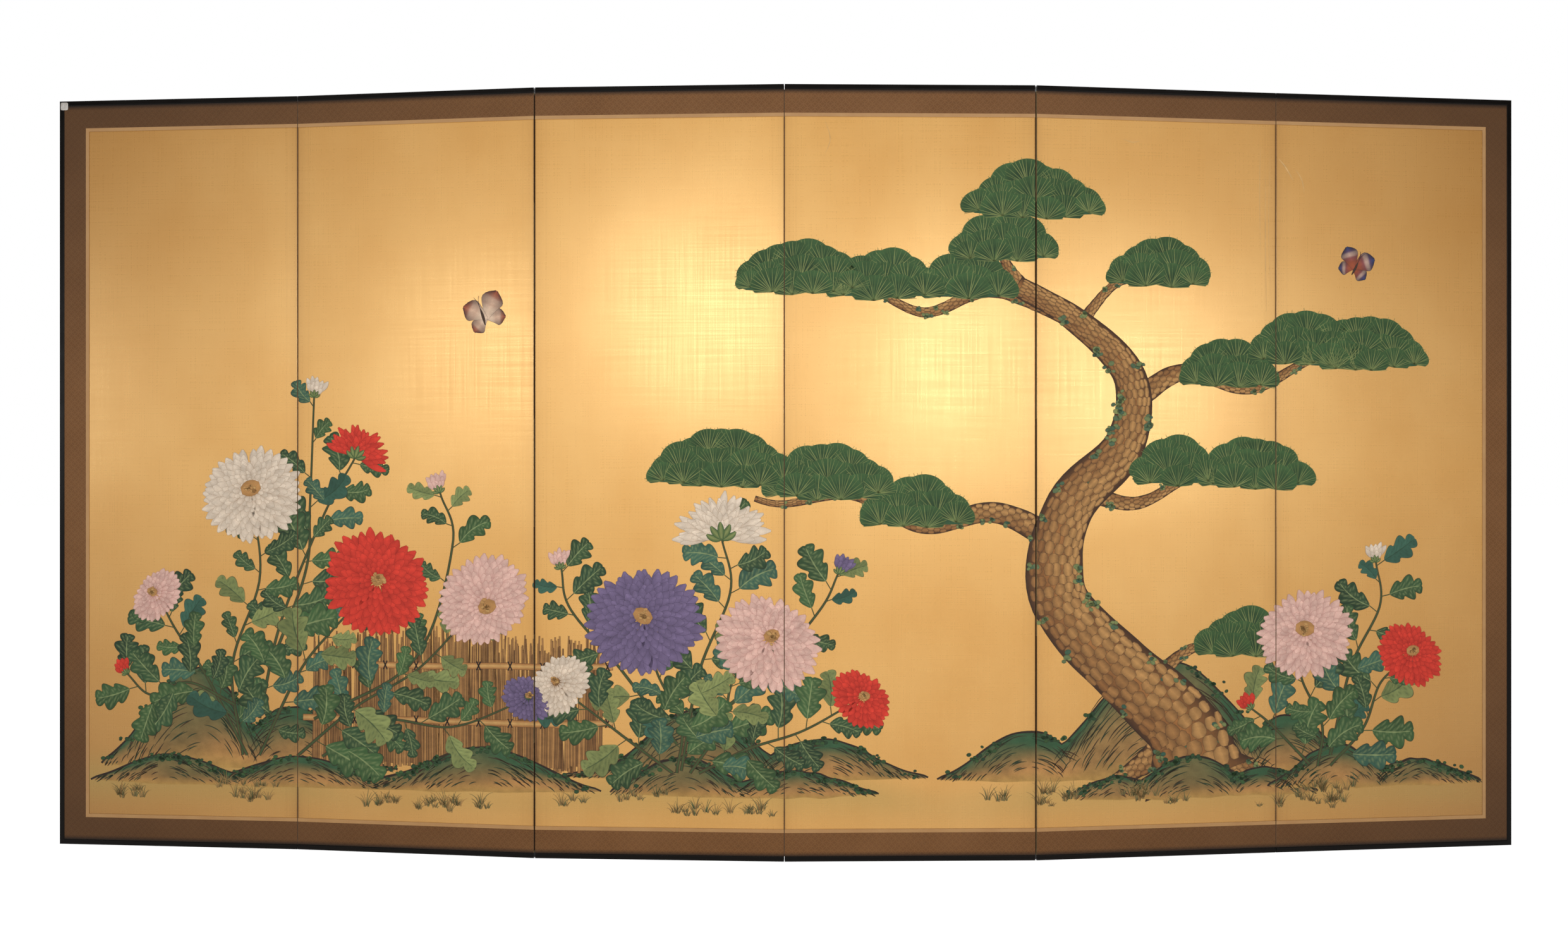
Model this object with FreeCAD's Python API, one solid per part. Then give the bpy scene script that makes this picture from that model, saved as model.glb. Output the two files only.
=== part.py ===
"""A six-panel folding screen with interlaced paper hinges.

Each panel has its own frame: X runs along the panel from its left hinge line to its right one, Y from the
front to the back, and Z up from the floor. The panels are then turned about the fold lines of their hinges into
the gentle bow in which the screen stands. The origin is at the bottom centre of the whole screen.
"""

import FreeCAD, Part
import math
import os

os.makedirs("parts", exist_ok=True)

Vector = FreeCAD.Vector

# The whole screen, in millimetres
screen_height = 1727.0
panel_pitch = 560.0
hinge_gap = 2.0
panel_count = 6
root_panel = 3

# How the screen stands: the degrees that each hinge is bent, plus for the backs and minus for the faces together
root_heading = -2.93
hinge_bends = (-2.77, 4.65, 4.01, 5.63, -0.32)

# Lacquered frame
rail_height = 12.0
stile_width = 12.0
frame_round = 2.0
frame_proud = 0.9

# Papers and cloth, from front to back
painting_thickness = 0.4
border_thickness = 0.6
fillet_thickness = 0.8
skin_thickness = 0.8
edge_paper_thickness = 0.4
back_paper_thickness = 0.5

# Face layout
border_width = 52.0
fillet_width = 8.0

# Lattice core
core_depth = 13.5
core_frame_width = 27.0
lath_width = 12.0
mortise_depth = 5.0
long_lath_count = 3
cross_lath_count = 11

# Bamboo pegs between frame and core, and how much of the core's wood they go through
peg_diameter = 3.0
peg_clearance = 0.05
peg_in_frame = 7.2
peg_in_core_share = 0.7
rail_peg_count = 3
stile_peg_count = 5

# Paper hinge straps
strap_band_count = 7
strap_thickness = 0.3
strap_tab_width = 24.0
strap_slit = 1.0
strap_end_margin = 4.0
strap_running_gap = 0.5
pivot_standoff = 0.4

# Corner plate
plate_side = 18.0
plate_inset = 3.0
plate_thickness = 0.5
plate_let_in = 0.2

# Overrun of every cutting shape past what it cuts
overrun = 1.0

# Levels through the panel, measured back from the frame's front face
border_front = frame_proud
skin_front = border_front + border_thickness
painting_front = skin_front - painting_thickness
fillet_front = skin_front - fillet_thickness
core_front = skin_front + skin_thickness
core_back = core_front + core_depth
skin_back = core_back + skin_thickness
back_paper_back = skin_back + back_paper_thickness
panel_depth = back_paper_back + frame_proud

# Heights
papers_bottom = rail_height
papers_top = screen_height - rail_height
fillet_bottom = papers_bottom + border_width
fillet_top = papers_top - border_width
painting_bottom = fillet_bottom + fillet_width
painting_top = fillet_top - fillet_width

# The fold lines of the hinges, just clear of the frame's faces
front_pivot = -pivot_standoff
back_pivot = panel_depth + pivot_standoff


def is_left_end(panel):
    return panel == 1


def is_right_end(panel):
    return panel == panel_count


def folds_faces_together(hinge):
    """Whether a hinge folds about its front line, as every second one does, or about its back line."""
    return hinge % 2 == 1


def panel_edges(panel):
    """Left and right edge of a panel's core and papers: at an end stile they reach it, at a hinge they stop short."""
    left = 0 if is_left_end(panel) else hinge_gap / 2
    right = panel_pitch if is_right_end(panel) else panel_pitch - hinge_gap / 2
    return left, right


def block(x_span, y_span, z_span):
    """A box from the low and high value on each axis."""
    size = [span[1] - span[0] for span in (x_span, y_span, z_span)]
    return Part.makeBox(*size, Vector(x_span[0], y_span[0], z_span[0]))


def rounded_along(bar, direction, radius):
    """A bar with its four long edges rounded."""
    long_edges = []
    for edge in bar.Edges:
        if abs(edge.tangentAt(edge.FirstParameter).dot(direction)) > math.cos(math.radians(1)):
            long_edges.append(edge)
    return bar.makeFillet(radius, long_edges)


def evenly(low, high, count):
    """Centres of a number of pieces spread evenly between two ends."""
    return [low + (high - low) * (index + 1) / (count + 1) for index in range(count)]


# Lattice core

def core_span(panel):
    """Left and right outer edge of the wooden core: a hinge edge is covered with paper."""
    left, right = panel_edges(panel)
    if not is_left_end(panel):
        left += edge_paper_thickness
    if not is_right_end(panel):
        right -= edge_paper_thickness
    return left, right


def lattice_core(panel):
    """Stiles, rails, long laths and cross laths, each its own stick, half-lapped where they cross."""
    left, right = core_span(panel)
    depth = (core_front, core_back)
    middle = (core_front + core_back) / 2
    inner_left = left + core_frame_width
    inner_right = right - core_frame_width
    inner_bottom = papers_bottom + core_frame_width
    inner_top = papers_top - core_frame_width
    long_centres = evenly(inner_left, inner_right, long_lath_count)
    cross_centres = evenly(inner_bottom, inner_top, cross_lath_count)
    half_lath = lath_width / 2

    stiles = [block((left, inner_left), depth, (papers_bottom, papers_top)),
              block((inner_right, right), depth, (papers_bottom, papers_top))]
    rails = [block((inner_left, inner_right), depth, (papers_bottom, inner_bottom)),
             block((inner_left, inner_right), depth, (inner_top, papers_top))]

    front_half = (core_front - overrun, middle)
    back_half = (middle, core_back + overrun)
    long_laths = []
    for x in long_centres:
        x_span = (x - half_lath, x + half_lath)
        lath = block(x_span, depth, (inner_bottom - mortise_depth, inner_top + mortise_depth))
        rails = [rail.cut(lath) for rail in rails]
        notch_width = (x - half_lath - overrun, x + half_lath + overrun)
        notches = [block(notch_width, front_half, (z - half_lath, z + half_lath)) for z in cross_centres]
        long_laths.append(lath.cut(notches))
    cross_laths = []
    for z in cross_centres:
        z_span = (z - half_lath, z + half_lath)
        lath = block((inner_left - mortise_depth, inner_right + mortise_depth), depth, z_span)
        stiles = [stile.cut(lath) for stile in stiles]
        notch_height = (z - half_lath - overrun, z + half_lath + overrun)
        notches = [block((x - half_lath, x + half_lath), back_half, notch_height) for x in long_centres]
        cross_laths.append(lath.cut(notches))

    holes = [peg_shape(peg, peg_clearance) for peg in pegs(panel)]
    stiles = [stile.cut(holes) for stile in stiles]
    rails = [rail.cut(holes) for rail in rails]
    return stiles + rails + long_laths + cross_laths


# Bamboo pegs

def pegs(panel):
    """Start point, direction and length of each peg across the joint of frame and core."""
    left, right = panel_edges(panel)
    middle = (core_front + core_back) / 2
    in_core = (core_frame_width - mortise_depth) * peg_in_core_share
    length = peg_in_frame + in_core
    up = Vector(0, 0, 1)
    found = []
    for x in evenly(left, right, rail_peg_count):
        found.append((Vector(x, middle, papers_bottom - peg_in_frame), up, length))
        found.append((Vector(x, middle, papers_top + peg_in_frame), -up, length))
    across = Vector(1, 0, 0)
    for z in evenly(papers_bottom, papers_top, stile_peg_count):
        if is_left_end(panel):
            found.append((Vector(left - peg_in_frame, middle, z), across, length))
        if is_right_end(panel):
            found.append((Vector(right + peg_in_frame, middle, z), -across, length))
    return found


def peg_shape(peg, clearance=0.0):
    """A peg, or with a clearance the hole that it sits in."""
    start, direction, length = peg
    start = start - direction * clearance
    return Part.makeCylinder(peg_diameter / 2 + clearance, length + clearance * 2, start, direction)


# Lacquered frame

def mitre_wedge(panel):
    """The space that belongs to an end stile, cut at its two mitred corners."""
    left, right = panel_edges(panel)
    inner, side = (left, -1) if is_left_end(panel) else (right, 1)
    outer = inner + side * (stile_width + overrun)
    spill = overrun * rail_height / stile_width
    points = [Vector(outer, -overrun, screen_height + spill),
              Vector(inner, -overrun, screen_height - rail_height),
              Vector(inner, -overrun, rail_height),
              Vector(outer, -overrun, -spill)]
    face = Part.Face(Part.makePolygon(points + points[:1]))
    return face.extrude(Vector(0, panel_depth + overrun * 2, 0))


def lacquer_frame(panel):
    """Top and bottom rail, and on an end panel the outer stile."""
    left, right = panel_edges(panel)
    rail_left = left - stile_width if is_left_end(panel) else left
    rail_right = right + stile_width if is_right_end(panel) else right
    depth = (0, panel_depth)
    heights = ((0, rail_height), (screen_height - rail_height, screen_height))
    pieces = []
    for height in heights:
        rail = block((rail_left, rail_right), depth, height)
        pieces.append(rounded_along(rail, Vector(1, 0, 0), frame_round))
    if is_left_end(panel) or is_right_end(panel):
        x_span = (rail_left, left) if is_left_end(panel) else (right, rail_right)
        stile = rounded_along(block(x_span, depth, (0, screen_height)), Vector(0, 0, 1), frame_round)
        wedge = mitre_wedge(panel)
        pieces = [rail.cut(wedge) for rail in pieces] + [stile.common(wedge)]
    cutters = [peg_shape(peg, peg_clearance) for peg in pegs(panel)]
    if is_left_end(panel):
        cutters.append(corner_plate())
    return [piece.cut(cutters) for piece in pieces]


def corner_plate():
    """A thin square plate let into the front of the top left corner."""
    left = -stile_width + plate_inset
    top = screen_height - plate_inset
    depth = (plate_let_in - plate_thickness, plate_let_in)
    return block((left, left + plate_side), depth, (top - plate_side, top))


# Papers and cloth

def face_spans(panel, inset):
    """The height and width left on a panel's face inside its border, with a further inset."""
    left, right = panel_edges(panel)
    if is_left_end(panel):
        left += inset
    if is_right_end(panel):
        right -= inset
    return (left, right), (papers_bottom + inset, papers_top - inset)


def strips(panel, outer_inset, inner_inset, depth):
    """Top and bottom strips of a border, and on an end panel the outer one, butted between them."""
    outer_x, outer_z = face_spans(panel, outer_inset)
    inner_x, inner_z = face_spans(panel, inner_inset)
    pieces = [block(outer_x, depth, (outer_z[0], inner_z[0])), block(outer_x, depth, (inner_z[1], outer_z[1]))]
    if is_left_end(panel):
        pieces.append(block((outer_x[0], inner_x[0]), depth, inner_z))
    if is_right_end(panel):
        pieces.append(block((inner_x[1], outer_x[1]), depth, inner_z))
    return pieces


def brocade_border(panel):
    return strips(panel, 0, border_width, (border_front, skin_front))


def fillet_strips(panel):
    return strips(panel, border_width, border_width + fillet_width, (fillet_front, skin_front))


def painting_sheet(panel):
    x_span, z_span = face_spans(panel, border_width + fillet_width)
    return [block(x_span, (painting_front, skin_front), z_span)]


def back_paper(panel):
    return [block(panel_edges(panel), (skin_back, back_paper_back), (papers_bottom, papers_top))]


# Hinge straps

def strap_bands():
    """Bottom and top of each band of strap, from the floor up."""
    bottom = papers_bottom + strap_end_margin
    step = (papers_top - strap_end_margin - bottom) / strap_band_count
    return [(bottom + step * index + strap_slit / 2, bottom + step * (index + 1) - strap_slit / 2)
            for index in range(strap_band_count)]


def strap_tabs(panel):
    """The glued ends of the straps: odd bands go from the left panel's front to the right panel's back, and
    even bands from the left panel's back to the right panel's front."""
    left, right = panel_edges(panel)
    front = (skin_front, skin_front + strap_thickness)
    back = (skin_back - strap_thickness, skin_back)
    found = []
    hinge_sides = []
    if not is_left_end(panel):
        hinge_sides.append(((left, left + strap_tab_width), False))
    if not is_right_end(panel):
        hinge_sides.append(((right - strap_tab_width, right), True))
    for x_span, is_left_panel in hinge_sides:
        for index, band in enumerate(strap_bands()):
            odd_band = index % 2 == 0
            depth = front if odd_band == is_left_panel else back
            found.append(block(x_span, depth, band))
    return found


def under_papers(panel):
    """Front and back skin, the paper over each hinge edge, and the strap ends let into the skins."""
    left, right = panel_edges(panel)
    height = (papers_bottom, papers_top)
    tabs = strap_tabs(panel)
    front_skin = block((left, right), (skin_front, core_front), height).cut(tabs)
    back_skin = block((left, right), (core_back, skin_back), height).cut(tabs)
    edges = []
    if not is_left_end(panel):
        edges.append(block((left, left + edge_paper_thickness), (core_front, core_back), height))
    if not is_right_end(panel):
        edges.append(block((right - edge_paper_thickness, right), (core_front, core_back), height))
    return [front_skin, back_skin] + edges + tabs


def strap_webs(hinge, odd_bands):
    """The part of every second strap that goes through the gap, and the panel that it moves with.

    A strap lies along the edge of one panel and crosses to the other panel at the fold line.
    """
    on_right_panel = odd_bands == folds_faces_together(hinge)
    if on_right_panel:
        panel = hinge + 1
        edge = panel_edges(panel)[0]
        outwards = -1
    else:
        panel = hinge
        edge = panel_edges(panel)[1]
        outwards = 1
    along_edge = sorted((edge, edge + outwards * strap_thickness))
    across_gap = sorted((edge, edge + outwards * (hinge_gap - strap_running_gap)))
    if folds_faces_together(hinge):
        fold_depth = (border_front, border_front + strap_thickness)
    else:
        fold_depth = (back_paper_back - strap_thickness, back_paper_back)
    webs = []
    for band in strap_bands()[0 if odd_bands else 1::2]:
        web = block(along_edge, (border_front, back_paper_back), band)
        webs.append(web.fuse(block(across_gap, fold_depth, band)).removeSplitter().Solids[0])
    return webs, panel


# Standing pose

def hinge_line(hinge):
    """Where a hinge lies in the frame of the panel that carries it, which is the one nearer the root panel."""
    return panel_pitch if hinge >= root_panel else 0


def turned(placement, x, y, degrees):
    """A placement turned further about a vertical line, given in its own frame."""
    turn = FreeCAD.Placement(Vector(), FreeCAD.Rotation(Vector(0, 0, 1), degrees), Vector(x, y, 0))
    return placement.multiply(turn)


def next_place(hinge, carrier):
    """Placement of the panel beyond a hinge, from that of the panel nearer the root panel."""
    rightwards = 1 if hinge >= root_panel else -1
    pivot = front_pivot if folds_faces_together(hinge) else back_pivot
    bent = turned(carrier, hinge_line(hinge), pivot, rightwards * hinge_bends[hinge - 1])
    return bent.multiply(FreeCAD.Placement(Vector(rightwards * panel_pitch, 0, 0), FreeCAD.Rotation()))


def stand():
    """Placements of the panels, worked outwards from the root panel."""
    upright = FreeCAD.Rotation(Vector(0, 0, 1), root_heading)
    panels = {root_panel: FreeCAD.Placement(Vector(), upright)}
    for hinge in range(root_panel, panel_count):
        panels[hinge + 1] = next_place(hinge, panels[hinge])
    for hinge in range(root_panel - 1, 0, -1):
        panels[hinge] = next_place(hinge, panels[hinge + 1])
    return panels


def build():
    """Every node's solids in the screen's frame, with the origin at its bottom centre."""
    panels = stand()
    nodes = {}
    for panel in range(1, panel_count + 1):
        place = panels[panel]
        name = f"panel_{panel}"
        frame_name = "lacquer_frame" if is_left_end(panel) or is_right_end(panel) else "lacquer_rails"
        nodes[f"{name}_lattice_core"] = (lattice_core(panel), place)
        nodes[f"{name}_under_papers"] = (under_papers(panel), place)
        nodes[f"{name}_painting_sheet"] = (painting_sheet(panel), place)
        nodes[f"{name}_fillet_strips"] = (fillet_strips(panel), place)
        nodes[f"{name}_brocade_border"] = (brocade_border(panel), place)
        nodes[f"{name}_back_paper"] = (back_paper(panel), place)
        nodes[f"{name}_{frame_name}"] = (lacquer_frame(panel), place)
        nodes[f"{name}_bamboo_pegs"] = ([peg_shape(peg) for peg in pegs(panel)], place)
    for hinge in range(1, panel_count):
        for name, odd_bands in (("odd", True), ("even", False)):
            webs, panel = strap_webs(hinge, odd_bands)
            nodes[f"hinge_{hinge}_{name}_straps"] = (webs, panels[panel])
    nodes["corner_plate"] = ([corner_plate()], panels[1])

    shapes = {}
    for node, (solids, place) in nodes.items():
        shape = Part.makeCompound(solids) if len(solids) > 1 else solids[0]
        shape.Placement = place.multiply(shape.Placement)
        shapes[node] = shape
    frames = Part.makeCompound([shape for node, shape in shapes.items() if "lacquer" in node])
    box = frames.optimalBoundingBox(False, False)
    centre = Vector((box.XMin + box.XMax) / 2, (box.YMin + box.YMax) / 2, 0)
    for shape in shapes.values():
        shape.translate(-centre)
    return shapes, centre


def write(shapes):
    """One file for each node."""
    for node, shape in shapes.items():
        shape.exportStep(f"parts/{node}.step")
        print(node, len(shape.Solids), "solids", round(shape.Volume), "mm3", "valid", shape.isValid())


shapes, centre = build()
write(shapes)
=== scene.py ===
"""A six-panel folding screen: its mounting, its painted silk and the stage that it stands on.

The painted shapes are laid out flat, in one picture 3.36 m wide, and then cut to the panels that carry
them.
"""

import math

import bmesh
import bpy
import numpy as np
from bpy.props import FloatProperty, FloatVectorProperty, IntProperty, PointerProperty
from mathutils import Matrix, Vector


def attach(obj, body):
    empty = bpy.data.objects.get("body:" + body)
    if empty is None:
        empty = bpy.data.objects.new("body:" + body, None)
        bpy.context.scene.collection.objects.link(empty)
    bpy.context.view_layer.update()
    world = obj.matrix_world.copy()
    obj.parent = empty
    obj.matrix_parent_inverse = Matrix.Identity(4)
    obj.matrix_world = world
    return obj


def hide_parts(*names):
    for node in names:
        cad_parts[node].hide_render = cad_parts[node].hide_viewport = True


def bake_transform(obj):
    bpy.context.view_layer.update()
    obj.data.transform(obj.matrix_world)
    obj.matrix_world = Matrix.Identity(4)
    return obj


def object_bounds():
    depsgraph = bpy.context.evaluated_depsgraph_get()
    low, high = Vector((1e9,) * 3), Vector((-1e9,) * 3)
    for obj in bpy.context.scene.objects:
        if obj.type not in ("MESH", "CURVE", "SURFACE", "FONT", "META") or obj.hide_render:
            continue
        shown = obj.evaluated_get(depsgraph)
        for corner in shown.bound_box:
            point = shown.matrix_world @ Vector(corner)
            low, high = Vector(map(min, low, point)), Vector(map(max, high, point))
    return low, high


bl_info = {
    "name": "Six-panel folding screen",
    "version": (1, 0, 0),
    "blender": (4, 5, 0),
    "location": "3D View > Sidebar > Folding screen",
    "description": "Dresses the folding screen and sets up its stage",
    "category": "Object",
}

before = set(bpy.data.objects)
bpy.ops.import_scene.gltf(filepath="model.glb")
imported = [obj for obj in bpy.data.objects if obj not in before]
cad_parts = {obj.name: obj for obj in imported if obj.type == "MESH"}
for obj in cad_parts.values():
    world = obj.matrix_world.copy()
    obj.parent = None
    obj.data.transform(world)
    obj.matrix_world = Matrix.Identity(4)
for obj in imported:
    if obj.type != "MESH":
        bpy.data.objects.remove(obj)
CAD_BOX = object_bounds()

MM = 0.001
PANELS = range(1, 7)
HINGES = range(1, 6)

# Lengths below are in millimetres. The picture is laid flat, to the right of the left end stile and up from
# the floor, with one panel after another and a gap at each hinge
PITCH = 560.0
GAP = 2.0

# The silk's grid: its step, and at each edge a band with lines of its own, for the painted shade and wear
# along the edge and the darker line along the end of the straps that lie under the silk
SILK_STEP = 14.0
SILK_THICKNESS = 0.4
EDGE_LINES = np.array([0.0, 1.5, 4.0, 22.0, 25.0, 28.0])
EDGE_BAND = 32.0
STRAP_END = 25.0

# The folded paper in a hinge: how far behind the silk's front it lies where the hinge folds at the front or
# at the back, how far it reaches to each side, its thickness, its lower and upper end, and its steps across
FRONT_FOLD = 0.15
BACK_FOLD = 15.55
FOLD_REACH = 0.95
FOLD_THICKNESS = 0.1
FOLD_ENDS = (12.5, 1714.5)
FOLD_STEPS = 12

# The plate in the top left corner: its side and thickness, its middle's height, how far its front is before
# the silk's, and how far it is domed
PLATE_SIDE = 18.0
PLATE_THICKNESS = 0.3
PLATE_HEIGHT = 1715.0
PLATE_FORWARD = 1.38
PLATE_DOME = 0.16

# Paint lies in layers of this thickness. Each kind of shape has its level, counted in layers from the silk
LAYER = 0.05
# The creases' painted highlight and shade lie lowest
CREASE_LIGHT_LEVEL = 0.4
FAR_BANK_LEVEL = 1.0
FENCE_LEVEL = 2.0
BOUGH_LEVEL = 2.0
TRUNK_LEVEL = 3.0
BUTTERFLY_LEVEL = 3.0
NEAR_BANK_LEVEL = 4.5
NEEDLE_LEVEL = 4.5
FRONT_BANK_LEVEL = 5.0
GRASS_LEVEL = 5.8
STEM_LEVELS = (5.9, 6.2)
STALK_LEVEL = 6.3
LEAF_LEVELS = (6.5, 8.7)
BLOOM_LEVELS = (9.0, 9.15)
HEART_LEVEL = 12.5

# The studio, in metres: where each soft lamp stands and how many times the soft light it gives, and the row
# of small lamps beside the camera, each with its place across, its height and how many times the sheen light
SOFT_LAMPS = {
    "lamp_left": ((-2.9, -3.6, 2.5), 1),
    "lamp_right": ((2.9, -3.6, 2.5), 1),
    "lamp_back": ((0.0, 3.4, 2.7), 6),
}
SOFT_SIZE = 2.2
SHEEN_LAMPS = (
    (-4.9, 1.3, 0.85),
    (-2.5, 1.45, 0.88),
    (-0.75, 1.6, 1.22),
    (0.95, 1.4, 1.2),
    (2.6, 1.35, 1.25),
    (4.2, 1.3, 0.1),
)
SHEEN_SIZE = 0.7
SHEEN_Y = -3.75
SCREEN_MIDDLE = (0.0, 0.0, 0.87)
FLOOR_HALF = 30.0
CAMERA_X = -0.0009
SCREEN_FRONT = -0.0842
SENSOR_WIDTH = 36.0

# How bright the floor's glow, the unlit room in mirrors and the light from the backdrop are beside white
FLOOR_GLOW = 0.8
ROOM_GLOW = 0.08
FILL_LIGHT = 0.33

SEED = 20


def linear(colour):
    """Linear red, green, blue and alpha of an sRGB hex colour such as "#C8A068"."""
    value = np.array([int(colour[i:i + 2], 16) for i in (1, 3, 5)]) / 255
    value = np.where(value <= 0.04045, value / 12.92, ((value + 0.055) / 1.055) ** 2.4)
    return (*value.tolist(), 1.0)


def shade(colour):
    """The same as an array of three numbers, for mixing paints."""
    return np.array(linear(colour)[:3])


def blend(first, second, share):
    """Paint between two paints: share 0 gives the first and 1 the second, for any array of shares."""
    return first + (second - first) * np.asarray(share)[..., None]


# Settings


class ScreenColours(bpy.types.PropertyGroup):
    """Colours of the mounting and of the ground that the picture is painted on."""

    gold: FloatVectorProperty(name="Gold ground", description="Gold wash on the silk", size=4, min=0, max=1,
                              subtype="COLOR", default=linear("#D19A52"))
    border: FloatVectorProperty(name="Brocade", description="Brown silk of the border", size=4, min=0,
                                max=1, subtype="COLOR", default=linear("#6B4522"))
    fillet: FloatVectorProperty(name="Fillet", description="Narrow strip inside the border", size=4, min=0,
                                max=1, subtype="COLOR", default=linear("#A57A48"))
    lacquer: FloatVectorProperty(name="Lacquer", description="Frame of the screen", size=4, min=0, max=1,
                                 subtype="COLOR", default=linear("#0A0705"))
    back: FloatVectorProperty(name="Back paper", description="Paper on the back", size=4, min=0, max=1,
                              subtype="COLOR", default=linear("#4A3C2C"))


class PictureSizes(bpy.types.PropertyGroup):
    """Sizes of the painted motifs."""

    bloom: FloatProperty(name="Bloom radius", description="Radius of a full-grown chrysanthemum",
                         unit="LENGTH", default=0.122, min=0.04, max=0.2)
    leaf: FloatProperty(name="Leaf length", description="Length of a full-grown leaf", unit="LENGTH",
                        default=0.104, min=0.02, max=0.2)
    needle: FloatProperty(name="Needle length", description="Length of a pine needle", unit="LENGTH",
                          default=0.058, min=0.01, max=0.1)
    trunk: FloatProperty(name="Trunk width", description="Width of the pine at its foot", unit="LENGTH",
                         default=0.190, min=0.05, max=0.3)
    sticks: IntProperty(name="Fence sticks", description="Number of sticks in the brushwood fence",
                        default=230, min=10, max=400)


class StageSettings(bpy.types.PropertyGroup):
    """Camera and light."""

    distance: FloatProperty(name="Camera distance", description="From the camera to the screen's front",
                            unit="LENGTH", default=3.1385, min=1, max=10)
    height: FloatProperty(name="Camera height", description="Height of the camera over the floor",
                          unit="LENGTH", default=0.872, min=0, max=3)
    lens: FloatProperty(name="Focal length", description="Focal length of the camera", unit="CAMERA",
                        default=32.47, min=10, max=200)
    soft_light: FloatProperty(name="Soft light", description="Power of the large lamps", unit="POWER",
                              default=6.0, min=0, max=500)
    sheen_light: FloatProperty(name="Sheen light", description="Power of the lamps beside the camera",
                               unit="POWER", default=26.0, min=0, max=200)


# Meshes


def coordinates(mesh):
    """The places of a mesh's vertices as an array of rows."""
    co = np.empty(len(mesh.vertices) * 3, np.float32)
    mesh.vertices.foreach_get("co", co)
    return co.reshape(-1, 3).astype(float)


def set_coordinates(mesh, points):
    """Moves a mesh's vertices to an array of rows."""
    mesh.vertices.foreach_set("co", points.astype(np.float32).ravel())
    mesh.update()


def grid_faces(rows, columns):
    """Four-cornered faces of a grid whose points are numbered row by row."""
    index = np.arange(rows * columns).reshape(rows, columns)
    return np.stack([index[:-1, :-1], index[:-1, 1:], index[1:, 1:], index[1:, :-1]], -1).reshape(-1, 4)


def new_mesh(name, points, faces):
    """A mesh from an array of points and an array of four-cornered faces."""
    mesh = bpy.data.meshes.new(name)
    mesh.vertices.add(len(points))
    mesh.vertices.foreach_set("co", points.astype(np.float32).ravel())
    mesh.loops.add(faces.size)
    mesh.loops.foreach_set("vertex_index", faces.astype(np.int32).ravel())
    mesh.polygons.add(len(faces))
    mesh.polygons.foreach_set("loop_start", np.arange(0, faces.size, 4, dtype=np.int32))
    mesh.update(calc_edges=True)
    return mesh


def new_piece(name, mesh, material, body=None):
    """An object for a finished mesh, riding on a panel if one is named."""
    piece = bpy.data.objects.new(name, mesh)
    bpy.context.scene.collection.objects.link(piece)
    mesh.materials.append(material)
    if body:
        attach(piece, body)
    return piece


def wear(node, material):
    """Gives a CAD node its finish in place of the plain one that it came with."""
    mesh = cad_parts[node].data
    mesh.materials.clear()
    mesh.materials.append(material)


class PanelPlace:
    """Where a panel stands: its direction along, its direction to the back, and its painted area.

    The long axis of the back paper's four corners, seen from above, is the direction along the panel.
    """

    def __init__(self, panel):
        paper = coordinates(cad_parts[f"panel_{panel}_back_paper"].data)
        sheet = coordinates(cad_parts[f"panel_{panel}_painting_sheet"].data)
        corners = np.unique(np.round(paper[:, :2], 6), axis=0)
        _, _, axes = np.linalg.svd(corners - corners.mean(0))
        self.along = axes[0] * np.sign(axes[0][0])
        self.back = np.array([-self.along[1], self.along[0]])
        self.body = f"panel_{panel}"
        self.start = (panel - 1) * PITCH
        self.left_line = (corners @ self.along).min() - (0 if panel == 1 else GAP / 2 * MM)
        self.front = (sheet[:, :2] @ self.back).min()
        reach = (sheet[:, :2] @ self.along - self.left_line) / MM + self.start
        self.low, self.high = reach.min(), reach.max()
        self.bottom, self.top = sheet[:, 2].min() / MM, sheet[:, 2].max() / MM

    def world(self, across, up, forward):
        """Points of the flat picture, in millimetres, set on this panel, in metres in the row frame."""
        x = self.left_line + (across - self.start) * MM
        y = self.front - forward * MM
        plan = x[:, None] * self.along + y[:, None] * self.back
        return np.column_stack([plan, up * MM])


PLACES = {panel: PanelPlace(panel) for panel in PANELS}


# Painted shapes, laid flat


def directions(path):
    """Unit vectors along paths, and square to them on their left."""
    along = np.gradient(path, axis=-2)
    along /= np.maximum(np.linalg.norm(along, axis=-1, keepdims=True), 1e-9)
    return along, np.stack([-along[..., 1], along[..., 0]], -1)


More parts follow.
